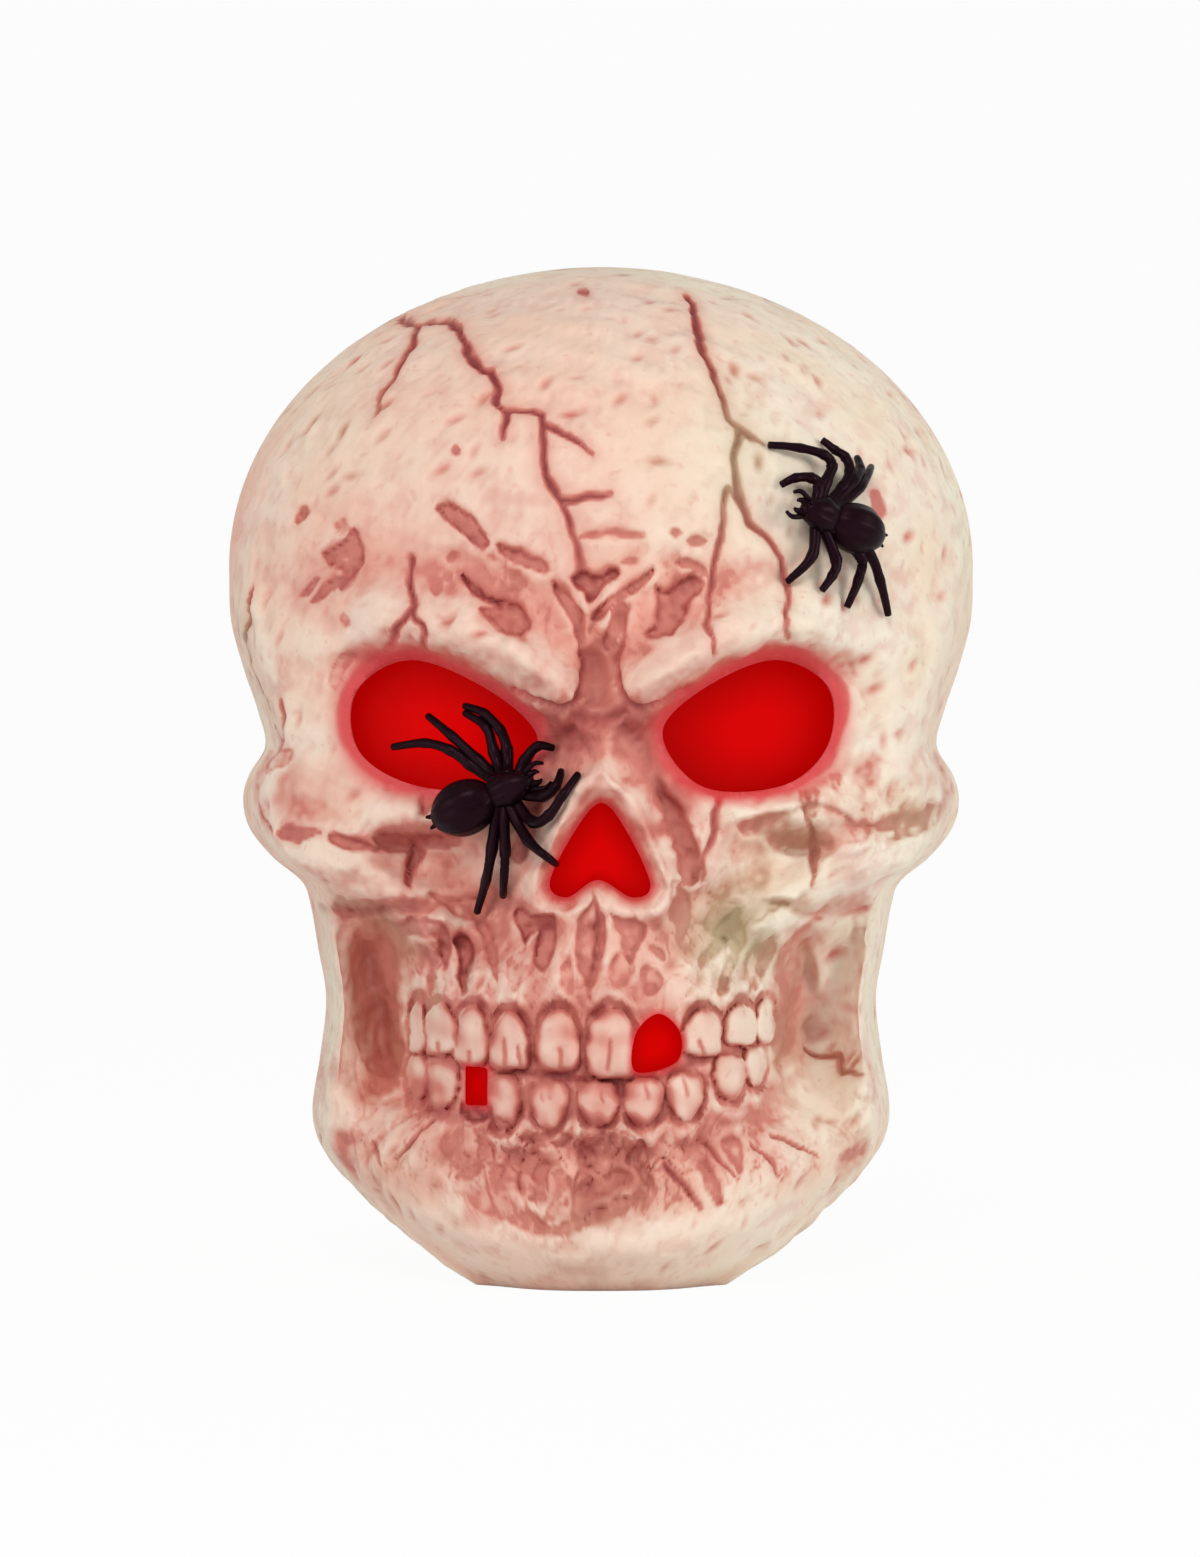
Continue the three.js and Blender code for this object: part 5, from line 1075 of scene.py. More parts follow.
def openSkin(piece, levelAt):  # cuts the marked points out and turns the edge in to its seat
    mesh = piece.data
    bm = bmesh.new()
    bm.from_mesh(mesh)
    bmesh.ops.remove_doubles(bm, verts=bm.verts, dist=1e-6)
    state = bm.verts.layers.float["opening"]  # 1 inside an opening, 0.5 on its edge
    for face in list(bm.faces):
        inside = [v for v in face.verts if v[state] > 0.9]
        edge = [v for v in face.verts if 0.4 < v[state] < 0.6]
        if len(face.verts) == 4 and len(inside) == 1 and len(edge) == 2:
            bmesh.utils.face_split(face, edge[0], edge[1])
    bmesh.ops.delete(bm, geom=[v for v in bm.verts if v[state] > 0.9], context="VERTS")
    finishFoot(bm)
    tone = bm.verts.layers.float["wash"]
    for face in [face for face in bm.faces if len(face.verts) == 4]:  # cut along the quieter diagonal
        a, b, c, d = face.verts
        first = abs(a[tone] - c[tone]) + abs(a.co.y - c.co.y) * 300
        second = abs(b[tone] - d[tone]) + abs(b.co.y - d.co.y) * 300
        bmesh.utils.face_split(face, *((a, c) if first < second else (b, d)))
    rims = [e for e in bm.edges if e.is_boundary and all(0.4 < v[state] < 0.6 for v in e.verts)]
    pushOut(bm, rims, levelAt)
    finishParting(bm)
    bm.to_mesh(mesh)
    bm.free()
    mesh.shade_smooth()
    mesh.set_sharp_from_angle(angle=math.radians(70))


def toSeat(verts):
    names = openingNear(np.array([v.co.x / mm for v in verts]), np.array([v.co.z / mm for v in verts]))
    for v, name in zip(verts, names):
        v.co.y = -seatReach(name, v.co.x / mm) * mm


# rear half: marks are given by x and z in millimetres
rearMarks = {
    "suture": [(0, 204), (1.5, 196), (-1.5, 190), (1.8, 184), (-1.2, 178), (0.6, 171)],
    "sutureLeft": [(0.6, 171), (-7, 168), (-11, 161), (-19, 159), (-23, 151), (-31, 149), (-35, 140),
        (-44, 137), (-49, 127)],
    "sutureRight": [(0.6, 171), (8, 169), (12, 162), (20, 160), (25, 152), (32, 150), (38, 141), (45, 139),
        (52, 128)],
    "crackHigh": [(34, 192), (30, 184), (33, 177), (27, 170), (29, 163)],
    "crackSide": [(-58, 172), (-55, 163), (-60, 155), (-57, 146)],
    "crackLow": [(14, 118), (18, 110), (15, 103), (22, 95)],
    "nape": [(-34, 97), (-17, 93), (0, 96), (17, 93), (34, 97)],
}
rearCrack = {"step": 1.5, "width": 0.85, "depth": 0.9, "wash": 0.75}
rearBores = {"places": [(58, 150), (-58, 150), (36, 80), (-36, 80)], "radius": 3.3, "floor": 11.2,
             "catch": 0.62, "behind": 5}


def buildRear():
    columns, rows = skull["rearColumns"], skull["rearRows"]
    piece, order, u = makeGrid("backSkin", columns, rows)
    low = int(rows * 0.62)
    arc = np.linspace(0, math.pi / 2, rows - low + 1)
    domeZ = skull["domeCentre"] + (skull["height"] - skull["domeCentre"]) * np.sin(arc)
    rowZ = np.concatenate([np.linspace(0, skull["domeCentre"], low + 1)[:-1], domeZ])
    z = np.repeat(rowZ[:, None], columns + 1, axis=1)
    angle = math.pi / 2 * u
    rear = np.where(z > skull["domeCentre"], skull["rearDomeReach"] * domeShare(z), rearReachAt(z))
    y = rear * np.cos(angle)
    half = frontWidth(z)
    rearHalf = np.where(z > skull["domeCentre"], half, rearHalfWidthAt(z))
    half = half + (rearHalf - half) * smoothStep(0, 26, y)
    x = -half * np.sin(angle)

    opening = np.zeros(x.shape)
    for bx, bz in rearBores["places"]:
        away = np.hypot(x - bx, z - bz)
        behind = y > rearBores["behind"]
        onEdge = (np.abs(away - rearBores["radius"]) < rearBores["catch"]) & behind
        x = np.where(onEdge, bx + (x - bx) / away * rearBores["radius"], x)
        z = np.where(onEdge, bz + (z - bz) / away * rearBores["radius"], z)
        opening = np.where(onEdge, 0.5, np.where((away < rearBores["radius"]) & behind, 1.0, opening))

    normal, area = gridNormals(x, y, z)
    strokes = []
    for points in rearMarks.values():
        laid = onSkin(points, rearCrack["step"], lambda a, b, deep: (a, deep, b), x, z, y, normal[..., 1])
        strokes.append((laid, rearCrack["width"], rearCrack["depth"], rearCrack["wash"]))
    depth, paint = crackMarks(strokes, x, y, z, normal)
    dents, dentPaint = pockmarks(x, y, z, normal, area, skull["rearPits"], 36)
    depth += dents + 0.16 * (bodyNoise(x, y, z, 14, 19) + 1.5) * smoothStep(2, 12, y)
    depth *= smoothStep(0, 2.5, y) * (opening < 0.4)
    paint = np.maximum(paint, dentPaint)
    x, y, z = (c - normal[..., i] * depth for i, c in enumerate((x, y, z)))
    z[0] = 0  # the foot stays flat
    blush, lime = sideTones(x, y, z)
    setVertices(piece, order, x, y, z, wash=paint, glow=0 * x, blush=blush, lime=lime, crest=0 * x,
                opening=opening)

    def boreFloor(verts):
        for v in verts:
            v.co.y = rearBores["floor"] * mm

    openSkin(piece, boreFloor)
    return piece


# materials: shared effects first, then one finish after another
def addNode(tree, kind, label=None, **values):
    node = tree.nodes.new(kind)
    if label:
        node.label = label
    for name, value in values.items():
        setattr(node, name, value)
    return node


# fields of noise: scale, detail, stretch along z and the range that is spread out
mouldedFields = {
    "Mottle": (55, 4, 1, 0.3, 0.7), "Fine": (900, 3, 1, 0.3, 0.7), "Specks": (420, 1, 1, 0.66, 0.74),
    "Dents": (210, 2, 1, 0.52, 0.72),
}
drawnFields = {"Lines": (420, 3, 14, 0, 1), "Dull": (260, 3, 1, 0, 1)}


def noiseGroup(name, fields):  # a shared effect with one output for each field
    tree = bpy.data.node_groups.new(name, "ShaderNodeTree")
    tree.interface.new_socket("Scale", in_out="INPUT", socket_type="NodeSocketFloat").default_value = 1.0
    for field in fields:
        tree.interface.new_socket(field, in_out="OUTPUT", socket_type="NodeSocketFloat")
    start, end = addNode(tree, "NodeGroupInput"), addNode(tree, "NodeGroupOutput")
    place = addNode(tree, "ShaderNodeTexCoord")
    for field, (scale, detail, stretch, low, high) in fields.items():
        turn = addNode(tree, "ShaderNodeMapping")
        turn.inputs["Scale"].default_value = (1, 1, stretch)
        size = addNode(tree, "ShaderNodeMath", operation="MULTIPLY")
        size.inputs[1].default_value = scale
        noise = addNode(tree, "ShaderNodeTexNoise", field)
        noise.inputs["Detail"].default_value = detail
        spread = addNode(tree, "ShaderNodeMapRange")
        spread.inputs["From Min"].default_value = low
        spread.inputs["From Max"].default_value = high
        tree.links.new(place.outputs["Object"], turn.inputs["Vector"])
        tree.links.new(turn.outputs["Vector"], noise.inputs["Vector"])
        tree.links.new(start.outputs["Scale"], size.inputs[0])
        tree.links.new(size.outputs[0], noise.inputs["Scale"])
        tree.links.new(noise.outputs["Fac"], spread.inputs["Value"])
        tree.links.new(spread.outputs["Result"], end.inputs[field])
    return tree


mouldedGrain = noiseGroup("mouldedGrain", mouldedFields)  # mottle, fine grain and specks of moulded plastic
drawnMetal = noiseGroup("drawnMetal", drawnFields)  # fine drawn lines and dull patches of small metal parts


class Finish:  # a material with its shader and a few links kept short
    def __init__(self, name, settings):
        self.material = bpy.data.materials.new(name)
        self.material.use_nodes = True
        self.tree = self.material.node_tree
        self.shader = self.tree.nodes["Principled BSDF"]
        for socket, value in settings.items():
            self.shader.inputs[socket].default_value = value

    def group(self, group, scale):
        node = addNode(self.tree, "ShaderNodeGroup", node_tree=group)
        node.inputs["Scale"].default_value = scale
        return node

    def attribute(self, name):
        return addNode(self.tree, "ShaderNodeAttribute", attribute_name=name).outputs["Fac"]

    def along(self, axis):  # place along one axis of the piece
        place = addNode(self.tree, "ShaderNodeTexCoord")
        parts = addNode(self.tree, "ShaderNodeSeparateXYZ")
        self.feed(place.outputs["Object"], parts.inputs[0])
        return parts.outputs[axis]

    def math(self, operation, a, b, clamp=False):
        node = addNode(self.tree, "ShaderNodeMath", operation=operation, use_clamp=clamp)
        for socket, value in zip(node.inputs, (a, b)):
            self.feed(value, socket)
        return node.outputs[0]

    def mix(self, share, a, b):
        node = addNode(self.tree, "ShaderNodeMix", data_type="RGBA")
        self.feed(share, node.inputs[0])
        self.feed(a, node.inputs[6])
        self.feed(b, node.inputs[7])
        return node.outputs[2]

    def span(self, value, low, high, toLow, toHigh):
        node = addNode(self.tree, "ShaderNodeMapRange")
        self.feed(value, node.inputs["Value"])
        for socket, number in zip(("From Min", "From Max", "To Min", "To Max"), (low, high, toLow, toHigh)):
            node.inputs[socket].default_value = number
        return node.outputs["Result"]

    def feed(self, value, socket):
        if hasattr(value, "is_output"):
            self.tree.links.new(value, socket)
        elif isinstance(value, tuple):
            socket.default_value = (*value, 1.0)
        else:
            socket.default_value = value

    def bump(self, height, strength, distance):
        node = addNode(self.tree, "ShaderNodeBump")
        node.inputs["Strength"].default_value = strength
        node.inputs["Distance"].default_value = distance * mm
        self.tree.links.new(height, node.inputs["Height"])
        self.tree.links.new(node.outputs["Normal"], self.shader.inputs["Normal"])

    def to(self, socket, value):
        self.feed(value, self.shader.inputs[socket])


# plain plastics: settings, grain scale, two tones, roughness, and field, strength and depth of the dents
plastics = {
    "spiderBlack": ({"IOR": 1.4, "Specular IOR Level": 0.16, "Specular Tint": (1.0, 0.5, 0.68, 1.0)}, 3.0,
                    (0.004, 0.001, 0.002), (0.010, 0.0025, 0.005), (0.28, 0.42), ("Mottle", 0.3, 0.25)),
    "baseBlack": ({"IOR": 1.46}, 1.6,
                  (0.022, 0.02, 0.019), (0.036, 0.032, 0.03), (0.5, 0.68), ("Fine", 0.5, 0.12)),
    "boardMask": ({"IOR": 1.5, "Coat Weight": 0.3, "Coat Roughness": 0.2}, 3.0,
                  (0.02, 0.12, 0.04), (0.035, 0.17, 0.06), (0.32, 0.45), ("Fine", 0.2, 0.05)),
    "leadRed": ({"IOR": 1.45}, 5.0,
                (0.33, 0.008, 0.008), (0.45, 0.015, 0.012), (0.45, 0.6), ("Fine", 0.3, 0.05)),
    "leadBlack": ({"IOR": 1.45}, 5.0,
                  (0.008, 0.008, 0.008), (0.018, 0.017, 0.016), (0.45, 0.6), ("Fine", 0.3, 0.05)),
}


def plasticFinish(name):
    settings, scale, dark, light, rough, (field, strength, distance) = plastics[name]
    f = Finish(name, settings)
    grain = f.group(mouldedGrain, scale)
    f.to("Base Color", f.mix(grain.outputs["Mottle"], dark, light))
    f.to("Roughness", f.span(grain.outputs["Fine"], 0, 1, *rough))
    f.bump(grain.outputs[field], strength, distance)
    return f.material


bone = {
    "cream": (0.87, 0.755, 0.565), "pale": (0.90, 0.84, 0.70), "lime": (0.82, 0.82, 0.61),
    "blush": (0.80, 0.375, 0.285), "stainAndShade": (0.66, 0.235, 0.18), "olive": (0.47, 0.36, 0.21),
    "moss": (0.27, 0.16, 0.09), "wash": (0.42, 0.09, 0.075), "deep": (0.24, 0.04, 0.037),
    "glow": (0.56, 0.04, 0.046), "bleed": (0.9, 0.13, 0.14), "unlit": (0.0, 0.0, 0.0),
}


def boneFinish():
    f = Finish("litIvory", {"IOR": 1.46, "Specular IOR Level": 0.32, "Emission Strength": 0.13})
    grain = f.group(mouldedGrain, 1.0)
    mottle = grain.outputs["Mottle"]
    colour = f.mix(f.span(mottle, 0.1, 0.9, 0, 0.8), bone["cream"], bone["pale"])
    # lime tone, then the pink tint that paints the red lamps' glow through the shell
    for tint, least in (("lime", 0.5), ("blush", 0.7)):
        share = f.math("MULTIPLY", f.attribute(tint), f.span(mottle, 0, 1, 1, least))
        colour = f.mix(share, colour, bone[tint])
    colour = f.mix(f.span(grain.outputs["Dents"], 0, 1, 0, 0.16), colour, bone["stainAndShade"])
    # painted highlight: crests, lit ledge sides and lit spots turn pale
    colour = f.mix(f.span(f.attribute("crest"), 0.1, 0.9, 0, 0.42), colour, bone["pale"])
    # these mixes darken the bone by real wash and by painted shade, both held in one attribute
    stainAndShade = f.mix(f.attribute("lime"), bone["stainAndShade"], bone["olive"])
    dark = f.mix(f.attribute("lime"), bone["wash"], bone["moss"])
    washed = f.math("ADD", f.attribute("wash"), f.span(mottle, 0, 1, -0.05, 0.05), True)
    colour = f.mix(f.span(washed, 0.02, 0.36, 0, 1), colour, stainAndShade)
    colour = f.mix(f.span(washed, 0.31, 0.74, 0, 1), colour, dark)
    colour = f.mix(f.span(washed, 0.76, 1.0, 0, 1), colour, bone["deep"])
    colour = f.mix(f.span(f.attribute("glow"), 0, 1, 0, 0.9), colour, bone["glow"])
    colour = f.mix(f.span(grain.outputs["Specks"], 0, 1, 0, 0.2), colour, bone["stainAndShade"])
    f.to("Base Color", colour)
    f.to("Emission Color", f.mix(f.attribute("glow"), bone["unlit"], bone["bleed"]))
    f.to("Roughness", f.span(grain.outputs["Fine"], 0, 1, 0.45, 0.62))
    height = f.math("SUBTRACT", f.span(grain.outputs["Fine"], 0, 1, 0, 0.25), grain.outputs["Dents"])
    f.bump(height, 0.35, 0.3)
    return f.material


boneMaterial = boneFinish()
print("bone finish ready")
face = buildFace()
openSkin(face, toSeat)
rear = buildRear()
for piece, node in ((face, "face_shell"), (rear, "back_shell")):
    piece.data.materials.append(boneMaterial)
    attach(piece, "skull")
    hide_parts(node)
print("skins:", len(face.data.polygons), "and", len(rear.data.polygons), "faces")


# panes: red plastic behind the openings, a little crowned; emission paints the lamp light shining through
# them, and painted shade darkens them towards the edge
pane = {
    "thickness": 1.2, "behind": 0.3, "flange": 2.0, "crown": 0.5, "crownRun": 8, "edgeRun": 4.0,
    "sharp": math.radians(50),
}


def buildPane(name):
    outline = outlines[name]
    middle = outline.mean(axis=0)
    bm = bmesh.new()
    bmesh.ops.create_circle(bm, cap_ends=True, segments=len(outline), radius=1.0)
    ordered = sorted(bm.verts, key=lambda v: math.atan2(v.co.y, v.co.x))
    turns = np.arctan2(outline[:, 1] - middle[1], outline[:, 0] - middle[0])
    around = outline[np.argsort(turns)]
    for v, point in zip(ordered, around):
        away = point - middle
        place = point + away / np.hypot(*away) * pane["flange"]
        v.co = Vector((place[0] * mm, 0, place[1] * mm))
    bmesh.ops.poke(bm, faces=bm.faces[:])
    x = np.array([v.co.x / mm for v in bm.verts])
    z = np.array([v.co.z / mm for v in bm.verts])
    away = outlineDistance(outline, x, z)[0]
    edge = bm.verts.layers.float.new("edge")
    for v, a, px in zip(bm.verts, away, x):
        v[edge] = float(np.clip(-a / pane["edgeRun"], 0, 1))
        crown = pane["crown"] * float(smoothStep(0, pane["crownRun"], -a))
        v.co.y = -(seatReach(name, px) - pane["behind"] + crown) * mm
    bmesh.ops.recalc_face_normals(bm, faces=bm.faces)
    if sum(face.normal.y for face in bm.faces) > 0:
        bmesh.ops.reverse_faces(bm, faces=bm.faces)
    bmesh.ops.solidify(bm, geom=bm.faces[:], thickness=pane["thickness"] * mm)
    piece = pieceFrom(bm, name.replace("window", "pane"))
    piece.data.set_sharp_from_angle(angle=pane["sharp"])
    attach(piece, "skull")
    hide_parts(name)
    return piece


def redFinish():
    f = Finish("litRed", {"IOR": 1.45, "Specular IOR Level": 0.04, "Emission Strength": 1.0})
    grain = f.group(mouldedGrain, 0.8)
    edge = f.attribute("edge")
    soft = f.span(grain.outputs["Mottle"], 0, 1, -0.06, 0.06)
    # painted shade of the rim darkens the pane towards its edge, and the emission paints the lamp light
    # coming through
    lit = f.math("ADD", f.span(edge, 0, 0.75, 0, 1), soft, True)
    f.to("Base Color", f.mix(lit, (0.05, 0.0, 0.0), (0.1, 0.0, 0.0)))
    f.to("Emission Color", f.mix(lit, (0.32, 0.0, 0.0), (0.6, 0.0, 0.0)))
    f.to("Roughness", f.span(grain.outputs["Fine"], 0, 1, 0.45, 0.6))
    f.bump(grain.outputs["Fine"], 0.1, 0.1)
    return f.material


redMaterial = redFinish()
for name in outlines:
    buildPane(name).data.materials.append(redMaterial)
print("panes ready")


# spiders: body masses, then legs that follow points in the picture and rest on the skull
spiders = {
    "cheekSpider": {
        "node": "cheek_spider",
        "thorax": {"at": (-18.1, 97.2, 4.7), "radii": (5.3, 3.4, 2.9)},
        "abdomen": {"at": (-26.6, 93.6, 5.2), "radii": (6.9, 5.5, 4.6)},
        "legs": [[(496, 782), (470, 764), (450, 750), (425, 743), (393, 747)],
                 [(500, 780), (478, 760), (452, 736), (428, 716)],
                 [(503, 778), (494, 752), (486, 727), (465, 713)],
                 [(508, 776), (507, 750), (500, 730), (484, 713), (465, 706)],
                 [(516, 780), (525, 760), (538, 746), (553, 748)],
                 [(520, 794), (543, 796), (556, 786), (561, 771)],
                 [(514, 800), (533, 822), (549, 815), (563, 795), (578, 774)],
                 [(508, 804), (528, 840), (556, 864)],
                 [(498, 804), (492, 848), (486, 880), (477, 912)],
                 [(503, 806), (505, 850), (503, 896)]],
    },
    "foreheadSpider": {
        "node": "forehead_spider",
        "thorax": {"at": (43.0, 150.8, 4.4), "radii": (4.8, 3.5, 2.8)},
        "abdomen": {"at": (50.0, 148.2, 4.8), "radii": (6.6, 5.0, 4.2)},
        "legs": [[(818, 508), (826, 482), (832, 466), (824, 455), (800, 448), (769, 445)],
                 [(814, 508), (819, 486), (811, 478), (795, 478), (781, 485)],
                 [(824, 508), (843, 487), (850, 471), (845, 457), (835, 450), (822, 440)],
                 [(828, 510), (853, 482), (860, 469), (857, 458)],
                 [(832, 512), (860, 487), (871, 467)],
                 [(815, 524), (812, 556), (788, 581)],
                 [(822, 526), (836, 560), (832, 576), (822, 590)],
                 [(828, 526), (860, 556), (858, 580), (847, 607)],
                 [(832, 524), (868, 553), (880, 580), (888, 615)]],
    },
}
spiderLeg = {"radius": 1.2, "tip": 0.72, "knot": 0.24, "lift": 1.15, "arch": 2.6, "foot": 0.75, "sides": 9}
spiderRest = {"lowest": 40.0, "feel": 0.8, "eyeTop": 124}  # levels of the skin under it, in millimetres
spiderTubes = {  # places ahead, apart and behind, then the first and last radius
    "jaw": ([(0, 0.9, 0), (1.3, 1.1, 0.3), (2.1, 0.8, 1.2)], 0.85, 0.3),
    "feeler": ([(-0.6, 1.6, 0), (1.9, 2.6, -0.5), (3.6, 2.0, 0.9)], 0.62, 0.36),
    "spinneret": ([(0, 0.8, 0), (-1.6, 1.2, 0)], 0.7, 0.25),
}
spiderEyes = {"radius": 0.42, "places": [(-0.5, 0.7, -1.45), (-1.05, 1.25, -1.45)]}
faceTree = BVHTree.FromPolygons([v.co for v in face.data.vertices], [p.vertices for p in face.data.polygons])


def restLevel(x, z):  # reach of the skull's skin, level with the rim over an eye
    level, feel = spiderRest["lowest"], spiderRest["feel"]
    for dx, dz in ((0, 0), (feel, 0), (-feel, 0), (0, feel), (0, -feel)):
        hit = faceTree.ray_cast(Vector(((x + dx) * mm, -0.2, (z + dz) * mm)), Vector((0, 1, 0)))[0]
        if hit is not None:
            level = max(level, -hit.y / mm)
    if z < spiderRest["eyeTop"]:
        name = "eye_window_right" if x > 0 else "eye_window_left"
        level = max(level, seatReach(name, x) + skull["rim"])
    return float(level)


def onSkull(px, py, lift):  # picture point to a place on the skull, in millimetres
    y = -75.0  # a first guess, bettered each time round
    for _ in range(6):
        x, y, z = fromPicture(px, py, y)
        y = -(restLevel(x, z) + lift)
    return Vector((x, y, z))


def smoothPath(points, steps):  # passes through every point
    return through([points[0], *points, points[-1]], steps) + [points[-1]]


def sweepTube(bm, path, radii, sides):  # a circle extruded from place to place
    def setRing(verts, centre, along, radius):
        turn = along.to_track_quat("Z", "Y").to_matrix()
        for k, v in enumerate(verts):
            a = 2 * math.pi * k / sides
            v.co = (centre + turn @ Vector((math.cos(a), math.sin(a), 0)) * radius) * mm

    ring = bmesh.ops.create_circle(bm, cap_ends=False, segments=sides, radius=1)["verts"]
    first = list(ring)
    for i, (centre, radius) in enumerate(zip(path, radii)):
        along = (path[min(i + 1, len(path) - 1)] - path[max(i - 1, 0)]).normalized()
        if i > 0:
            edges = [bm.edges.get((ring[k], ring[(k + 1) % sides])) for k in range(sides)]
            pairs = bmesh.ops.extrude_edge_only(bm, edges=edges)["geom"]
            fresh = {v for v in pairs if isinstance(v, bmesh.types.BMVert)}
            ring = [next(e.other_vert(v) for e in v.link_edges if e.other_vert(v) in fresh) for v in ring]
        setRing(ring, centre, along, radius)
    for end in (first, ring):
        bmesh.ops.contextual_create(bm, geom=end)


def bodyMass(bm, centre, forward, radii, shaper):  # an egg along its heading, shaped point by point
    verts = bmesh.ops.create_uvsphere(bm, u_segments=36, v_segments=24, radius=1)["verts"]
    up = Vector((0, -1, 0))
    side = forward.cross(up).normalized()
    up = side.cross(forward).normalized()
    for v in verts:
        f, s, h = shaper(v.co.z, v.co.x, v.co.y)
        v.co = (centre + forward * f * radii[0] + side * s * radii[1] + up * h * radii[2]) * mm


def abdomenShape(f, s, h):
    ribs = 1 + 0.03 * math.sin(13 * math.atan2(s, h + 0.4)) * smoothStep(-0.2, 0.4, h)
    point = 1 - 0.16 * max(0, -f) ** 2
    crease = 1 - 0.07 * math.exp(-((s / 0.1) ** 2)) * max(0, h)
    return f, s * ribs * point, h * ribs * crease * (1.06 if h > 0 else 0.8)


def thoraxShape(f, s, h):
    groove = 1 - 0.14 * math.exp(-((s / 0.16) ** 2)) * max(0, h) * (1 if f < 0.3 else 0.4)
    spokes = 1 + 0.035 * math.cos(8 * math.atan2(s, f))
    return f * (1.06 if f > 0 else 1), s * (1 - 0.26 * max(0, f)) * spokes, h * groove


def addSmallParts(bm, front, tail, axis, side):  # jaws, feelers, eyes and spinnerets, on one side
    def at(start, place):
        return start + axis * place[0] + side * place[1] + Vector((0, place[2], 0))

    def addTube(kind, start):
        places, first, last = spiderTubes[kind]
        path = smoothPath([at(start, place) for place in places], 4)
        sweepTube(bm, path, np.linspace(first, last, len(path)), 8)

    addTube("jaw", front)
    addTube("feeler", front)
    for place in spiderEyes["places"]:
        verts = bmesh.ops.create_icosphere(bm, subdivisions=2, radius=spiderEyes["radius"] * mm)["verts"]
        bmesh.ops.translate(bm, verts=verts, vec=at(front, place) * mm)
    addTube("spinneret", tail)


def addLeg(bm, points, thorax):  # a jointed leg from the thorax down to the skull
    flat = smoothPath([Vector((px, py, 0)) for px, py in points], 4)
    path = []
    for k, point in enumerate(flat):
        share = k / (len(flat) - 1)
        lift = spiderLeg["lift"] + spiderLeg["arch"] * math.sin(math.pi * share**0.8)
        path.append(onSkull(point.x, point.y, lift if share < 0.9 else spiderLeg["foot"]))
    path[0].y = min(path[0].y, thorax.y + 0.6)
    for _ in range(2):
        for k in range(1, len(path) - 1):
            path[k].y = min(path[k].y, (path[k - 1].y + path[k + 1].y) / 2)
    line = smoothPath(path, 2)
    share = np.linspace(0, 1, len(line))
    joints = len(points) - 1
    knots = np.zeros(len(line))
    for k in range(1, joints):
        knots += spiderLeg["knot"] * np.exp(-(((share - k / joints) * joints / 0.16) ** 2))
    radii = spiderLeg["radius"] + (spiderLeg["tip"] - spiderLeg["radius"]) * share**1.4
    sweepTube(bm, line, radii + knots * (1 - 0.5 * share), spiderLeg["sides"])


def buildSpider(name, spider):
    bm = bmesh.new()

    def massAt(part):
        x, z, lift = spider[part]["at"]
        return Vector((x, -(restLevel(x, z) + lift), z))

    thorax, abdomen = massAt("thorax"), massAt("abdomen")
    axis = (thorax - abdomen).normalized()
    bodyMass(bm, abdomen, axis, spider["abdomen"]["radii"], abdomenShape)
    bodyMass(bm, thorax, axis, spider["thorax"]["radii"], thoraxShape)
    side = axis.cross(Vector((0, -1, 0))).normalized()
    front = thorax + axis * spider["thorax"]["radii"][0] * 0.92
    tail = abdomen - axis * spider["abdomen"]["radii"][0] * 0.9
    for s in (-1, 1):
        addSmallParts(bm, front, tail, axis, side * s)
    for points in spider["legs"]:
        addLeg(bm, points, thorax)
    bmesh.ops.recalc_face_normals(bm, faces=bm.faces)
    piece = pieceFrom(bm, name)
    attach(piece, "skull")
    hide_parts(spider["node"])
    return piece


spiderMaterial = plasticFinish("spiderBlack")
for name, spider in spiders.items():
    buildSpider(name, spider).data.materials.append(spiderMaterial)
print("spiders ready")


# finishes of the parts that keep their CAD shape
def steelFinish(name, dark, light, scale):
    f = Finish(name, {"Metallic": 1.0})
    lines = f.group(drawnMetal, scale)
    f.to("Base Color", f.mix(lines.outputs["Dull"], dark, light))
    f.to("Roughness", f.span(lines.outputs["Lines"], 0.3, 0.7, 0.24, 0.46))
    f.bump(lines.outputs["Lines"], 0.15, 0.05)
    return f.material


# a cell's sleeve, and the plain band at one end, in metres
cells = {"sleeve": (0.03, 0.16, 0.075), "band": (0.62, 0.47, 0.16), "bandLength": 0.0135, "bandFade": 0.0004}


def cellFinish():  # printed sleeve with a plain band at one end
    f = Finish("cellSleeve", {"IOR": 1.45, "Coat Weight": 0.4, "Coat Roughness": 0.12})
    grain = f.group(mouldedGrain, 2.0)
    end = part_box("battery_left")[0].y + cells["bandLength"]
    band = f.span(f.along("Y"), end, end + cells["bandFade"], 1, 0)
    sleeve = f.mix(grain.outputs["Mottle"], cells["sleeve"], tuple(c * 1.25 for c in cells["sleeve"]))
    f.to("Base Color", f.mix(band, sleeve, cells["band"]))
    f.to("Roughness", f.span(grain.outputs["Fine"], 0, 1, 0.25, 0.38))
    return f.material


def ledFinish():
    f = Finish("ledRed", {"IOR": 1.5, "Emission Strength": 0.8})
    grain = f.group(mouldedGrain, 4.0)
    f.to("Base Color", f.mix(grain.outputs["Mottle"], (0.6, 0.008, 0.008), (0.75, 0.015, 0.012)))
    f.to("Emission Color", f.mix(grain.outputs["Mottle"], (0.8, 0.012, 0.008), (0.95, 0.03, 0.02)))
    f.to("Roughness", f.span(grain.outputs["Fine"], 0, 1, 0.1, 0.2))
    return f.material


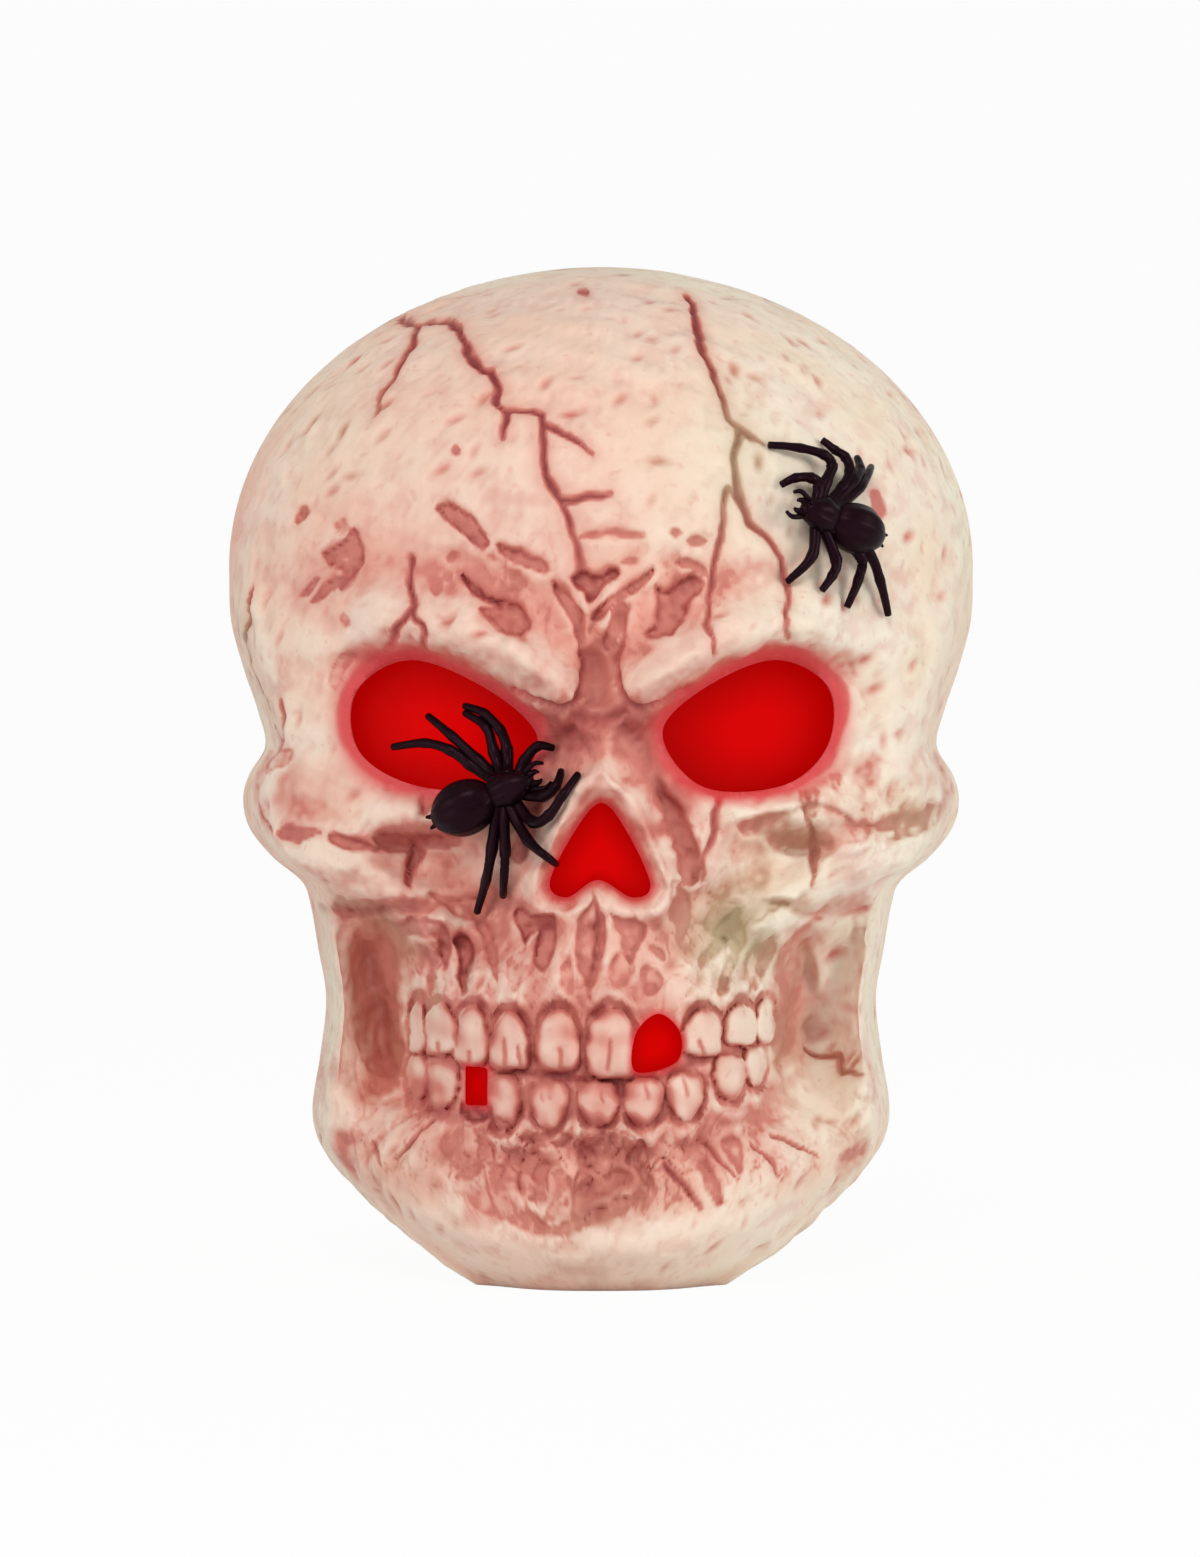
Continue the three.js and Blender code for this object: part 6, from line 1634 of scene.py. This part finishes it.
def resistorFinish():  # ceramic body with plain colour rings
    f = Finish("resistorBody", {"IOR": 1.5})
    grain = f.group(mouldedGrain, 6.0)
    low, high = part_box("resistor")
    colour = f.mix(grain.outputs["Mottle"], (0.55, 0.42, 0.27), (0.62, 0.48, 0.32))
    place, length = f.along("X"), high.x - low.x
    wide = length * 0.025
    for share, ring in ((0.36, (0.3, 0.03, 0.02)), (0.46, (0.25, 0.07, 0.02)), (0.62, (0.55, 0.35, 0.07))):
        away = f.math("ABSOLUTE", f.math("SUBTRACT", place, low.x + length * share), 0.0)
        colour = f.mix(f.span(away, wide, wide * 1.2, 1, 0), colour, ring)
    f.to("Base Color", colour)
    f.to("Roughness", f.span(grain.outputs["Fine"], 0, 1, 0.35, 0.5))
    return f.material


finishes = {
    "base": plasticFinish("baseBlack"), "spider": spiderMaterial, "cell": cellFinish(), "led": ledFinish(),
    "steel": steelFinish("plainSteel", (0.5, 0.5, 0.49), (0.68, 0.67, 0.65), 1),
    "board": plasticFinish("boardMask"), "bone": boneMaterial, "red_window": redMaterial,
    "red_lead": plasticFinish("leadRed"), "black_lead": plasticFinish("leadBlack"),
}
nickel = steelFinish("nickel", (0.62, 0.58, 0.5), (0.78, 0.73, 0.64), 1.4)
special = {
    "resistor": resistorFinish(), "contact_bridge": nickel, "contact_left": nickel, "contact_right": nickel,
}
slots = {part["node"]: part["material_slot"] for part in frame["record"]["subparts"]}
for name, slot in slots.items():
    node = bpy.data.objects.get(name)
    if node is None:
        print("no object for", name)
        continue
    material = special.get(name, finishes[slot])
    if len(node.material_slots) == 0:
        node.data.materials.append(material)
    for place in node.material_slots:
        place.material = material
print("finishes set on", len(slots), "nodes")


# stage: pale floor that turns up into a backdrop
stage = {"half": 3.0, "behind": 2.2, "height": 2.6, "radius": 0.8}


def paperFinish():  # white to the camera and in reflections, plain paper to the lamps
    f = Finish("palePaper", {"Roughness": 0.9, "Specular IOR Level": 0.1})
    f.to("Base Color", (0.86, 0.86, 0.86))
    ray = addNode(f.tree, "ShaderNodeLightPath").outputs
    seen = f.math("ADD", ray["Is Camera Ray"], ray["Is Glossy Ray"], True)
    seen = f.math("ADD", seen, ray["Is Transmission Ray"], True)
    white = addNode(f.tree, "ShaderNodeEmission")
    mixed = addNode(f.tree, "ShaderNodeMixShader")
    f.feed(f.math("MULTIPLY", seen, 0.95), mixed.inputs["Fac"])
    f.feed(f.shader.outputs[0], mixed.inputs[1])
    f.feed(white.outputs[0], mixed.inputs[2])
    f.feed(mixed.outputs[0], f.tree.nodes["Material Output"].inputs["Surface"])
    return f.material


def buildStage():
    bm = bmesh.new()
    bmesh.ops.create_grid(bm, x_segments=1, y_segments=1, size=stage["half"])
    for v in bm.verts:
        v.co.y = stage["behind"] if v.co.y > 0 else -stage["half"]
    back = [e for e in bm.edges if all(v.co.y > 0 for v in e.verts)]
    spun = bmesh.ops.spin(bm, geom=back + [v for e in back for v in e.verts], axis=(1, 0, 0), steps=16,
                          cent=(0, stage["behind"], stage["radius"]), angle=math.radians(90))
    top = [g for g in spun["geom_last"] if isinstance(g, bmesh.types.BMEdge)]
    pushed = bmesh.ops.extrude_edge_only(bm, edges=top)["geom"]
    bmesh.ops.translate(bm, verts=[g for g in pushed if isinstance(g, bmesh.types.BMVert)],
                        vec=(0, 0, stage["height"]))
    bmesh.ops.recalc_face_normals(bm, faces=bm.faces)
    sweep = pieceFrom(bm, "paleSweep")
    sweep.data.materials.append(paperFinish())


buildStage()

# soft studio light: an even world and three large lamps
room = {"strength": 0.44, "aim": (0, 0, 0.1)}
world = bpy.data.worlds.new("paleRoom")
scene.world = world
world.use_nodes = True
world.node_tree.nodes["Background"].inputs["Color"].default_value = (1, 1, 1, 1)
world.node_tree.nodes["Background"].inputs["Strength"].default_value = room["strength"]
lamps = {
    "above": {"at": (-0.15, -1.05, 0.9), "size": 0.5, "power": 5.5},
    "left": {"at": (-1.2, -1.0, 0.35), "size": 0.8, "power": 5.3},
    "right": {"at": (1.45, -0.65, 0.4), "size": 0.8, "power": 8.9},
}
for name, lamp in lamps.items():
    data = bpy.data.lights.new(name, "AREA")
    data.shape = "SQUARE"
    data.size = lamp["size"]
    data.energy = lamp["power"]
    lampObject = bpy.data.objects.new(name, data)
    scene.collection.objects.link(lampObject)
    lampObject.location = lamp["at"]
    aim = Vector(room["aim"]) - lampObject.location
    lampObject.rotation_euler = aim.to_track_quat("-Z", "Y").to_euler()
scene.view_settings.view_transform = "Standard"
print("stage and lamps ready")
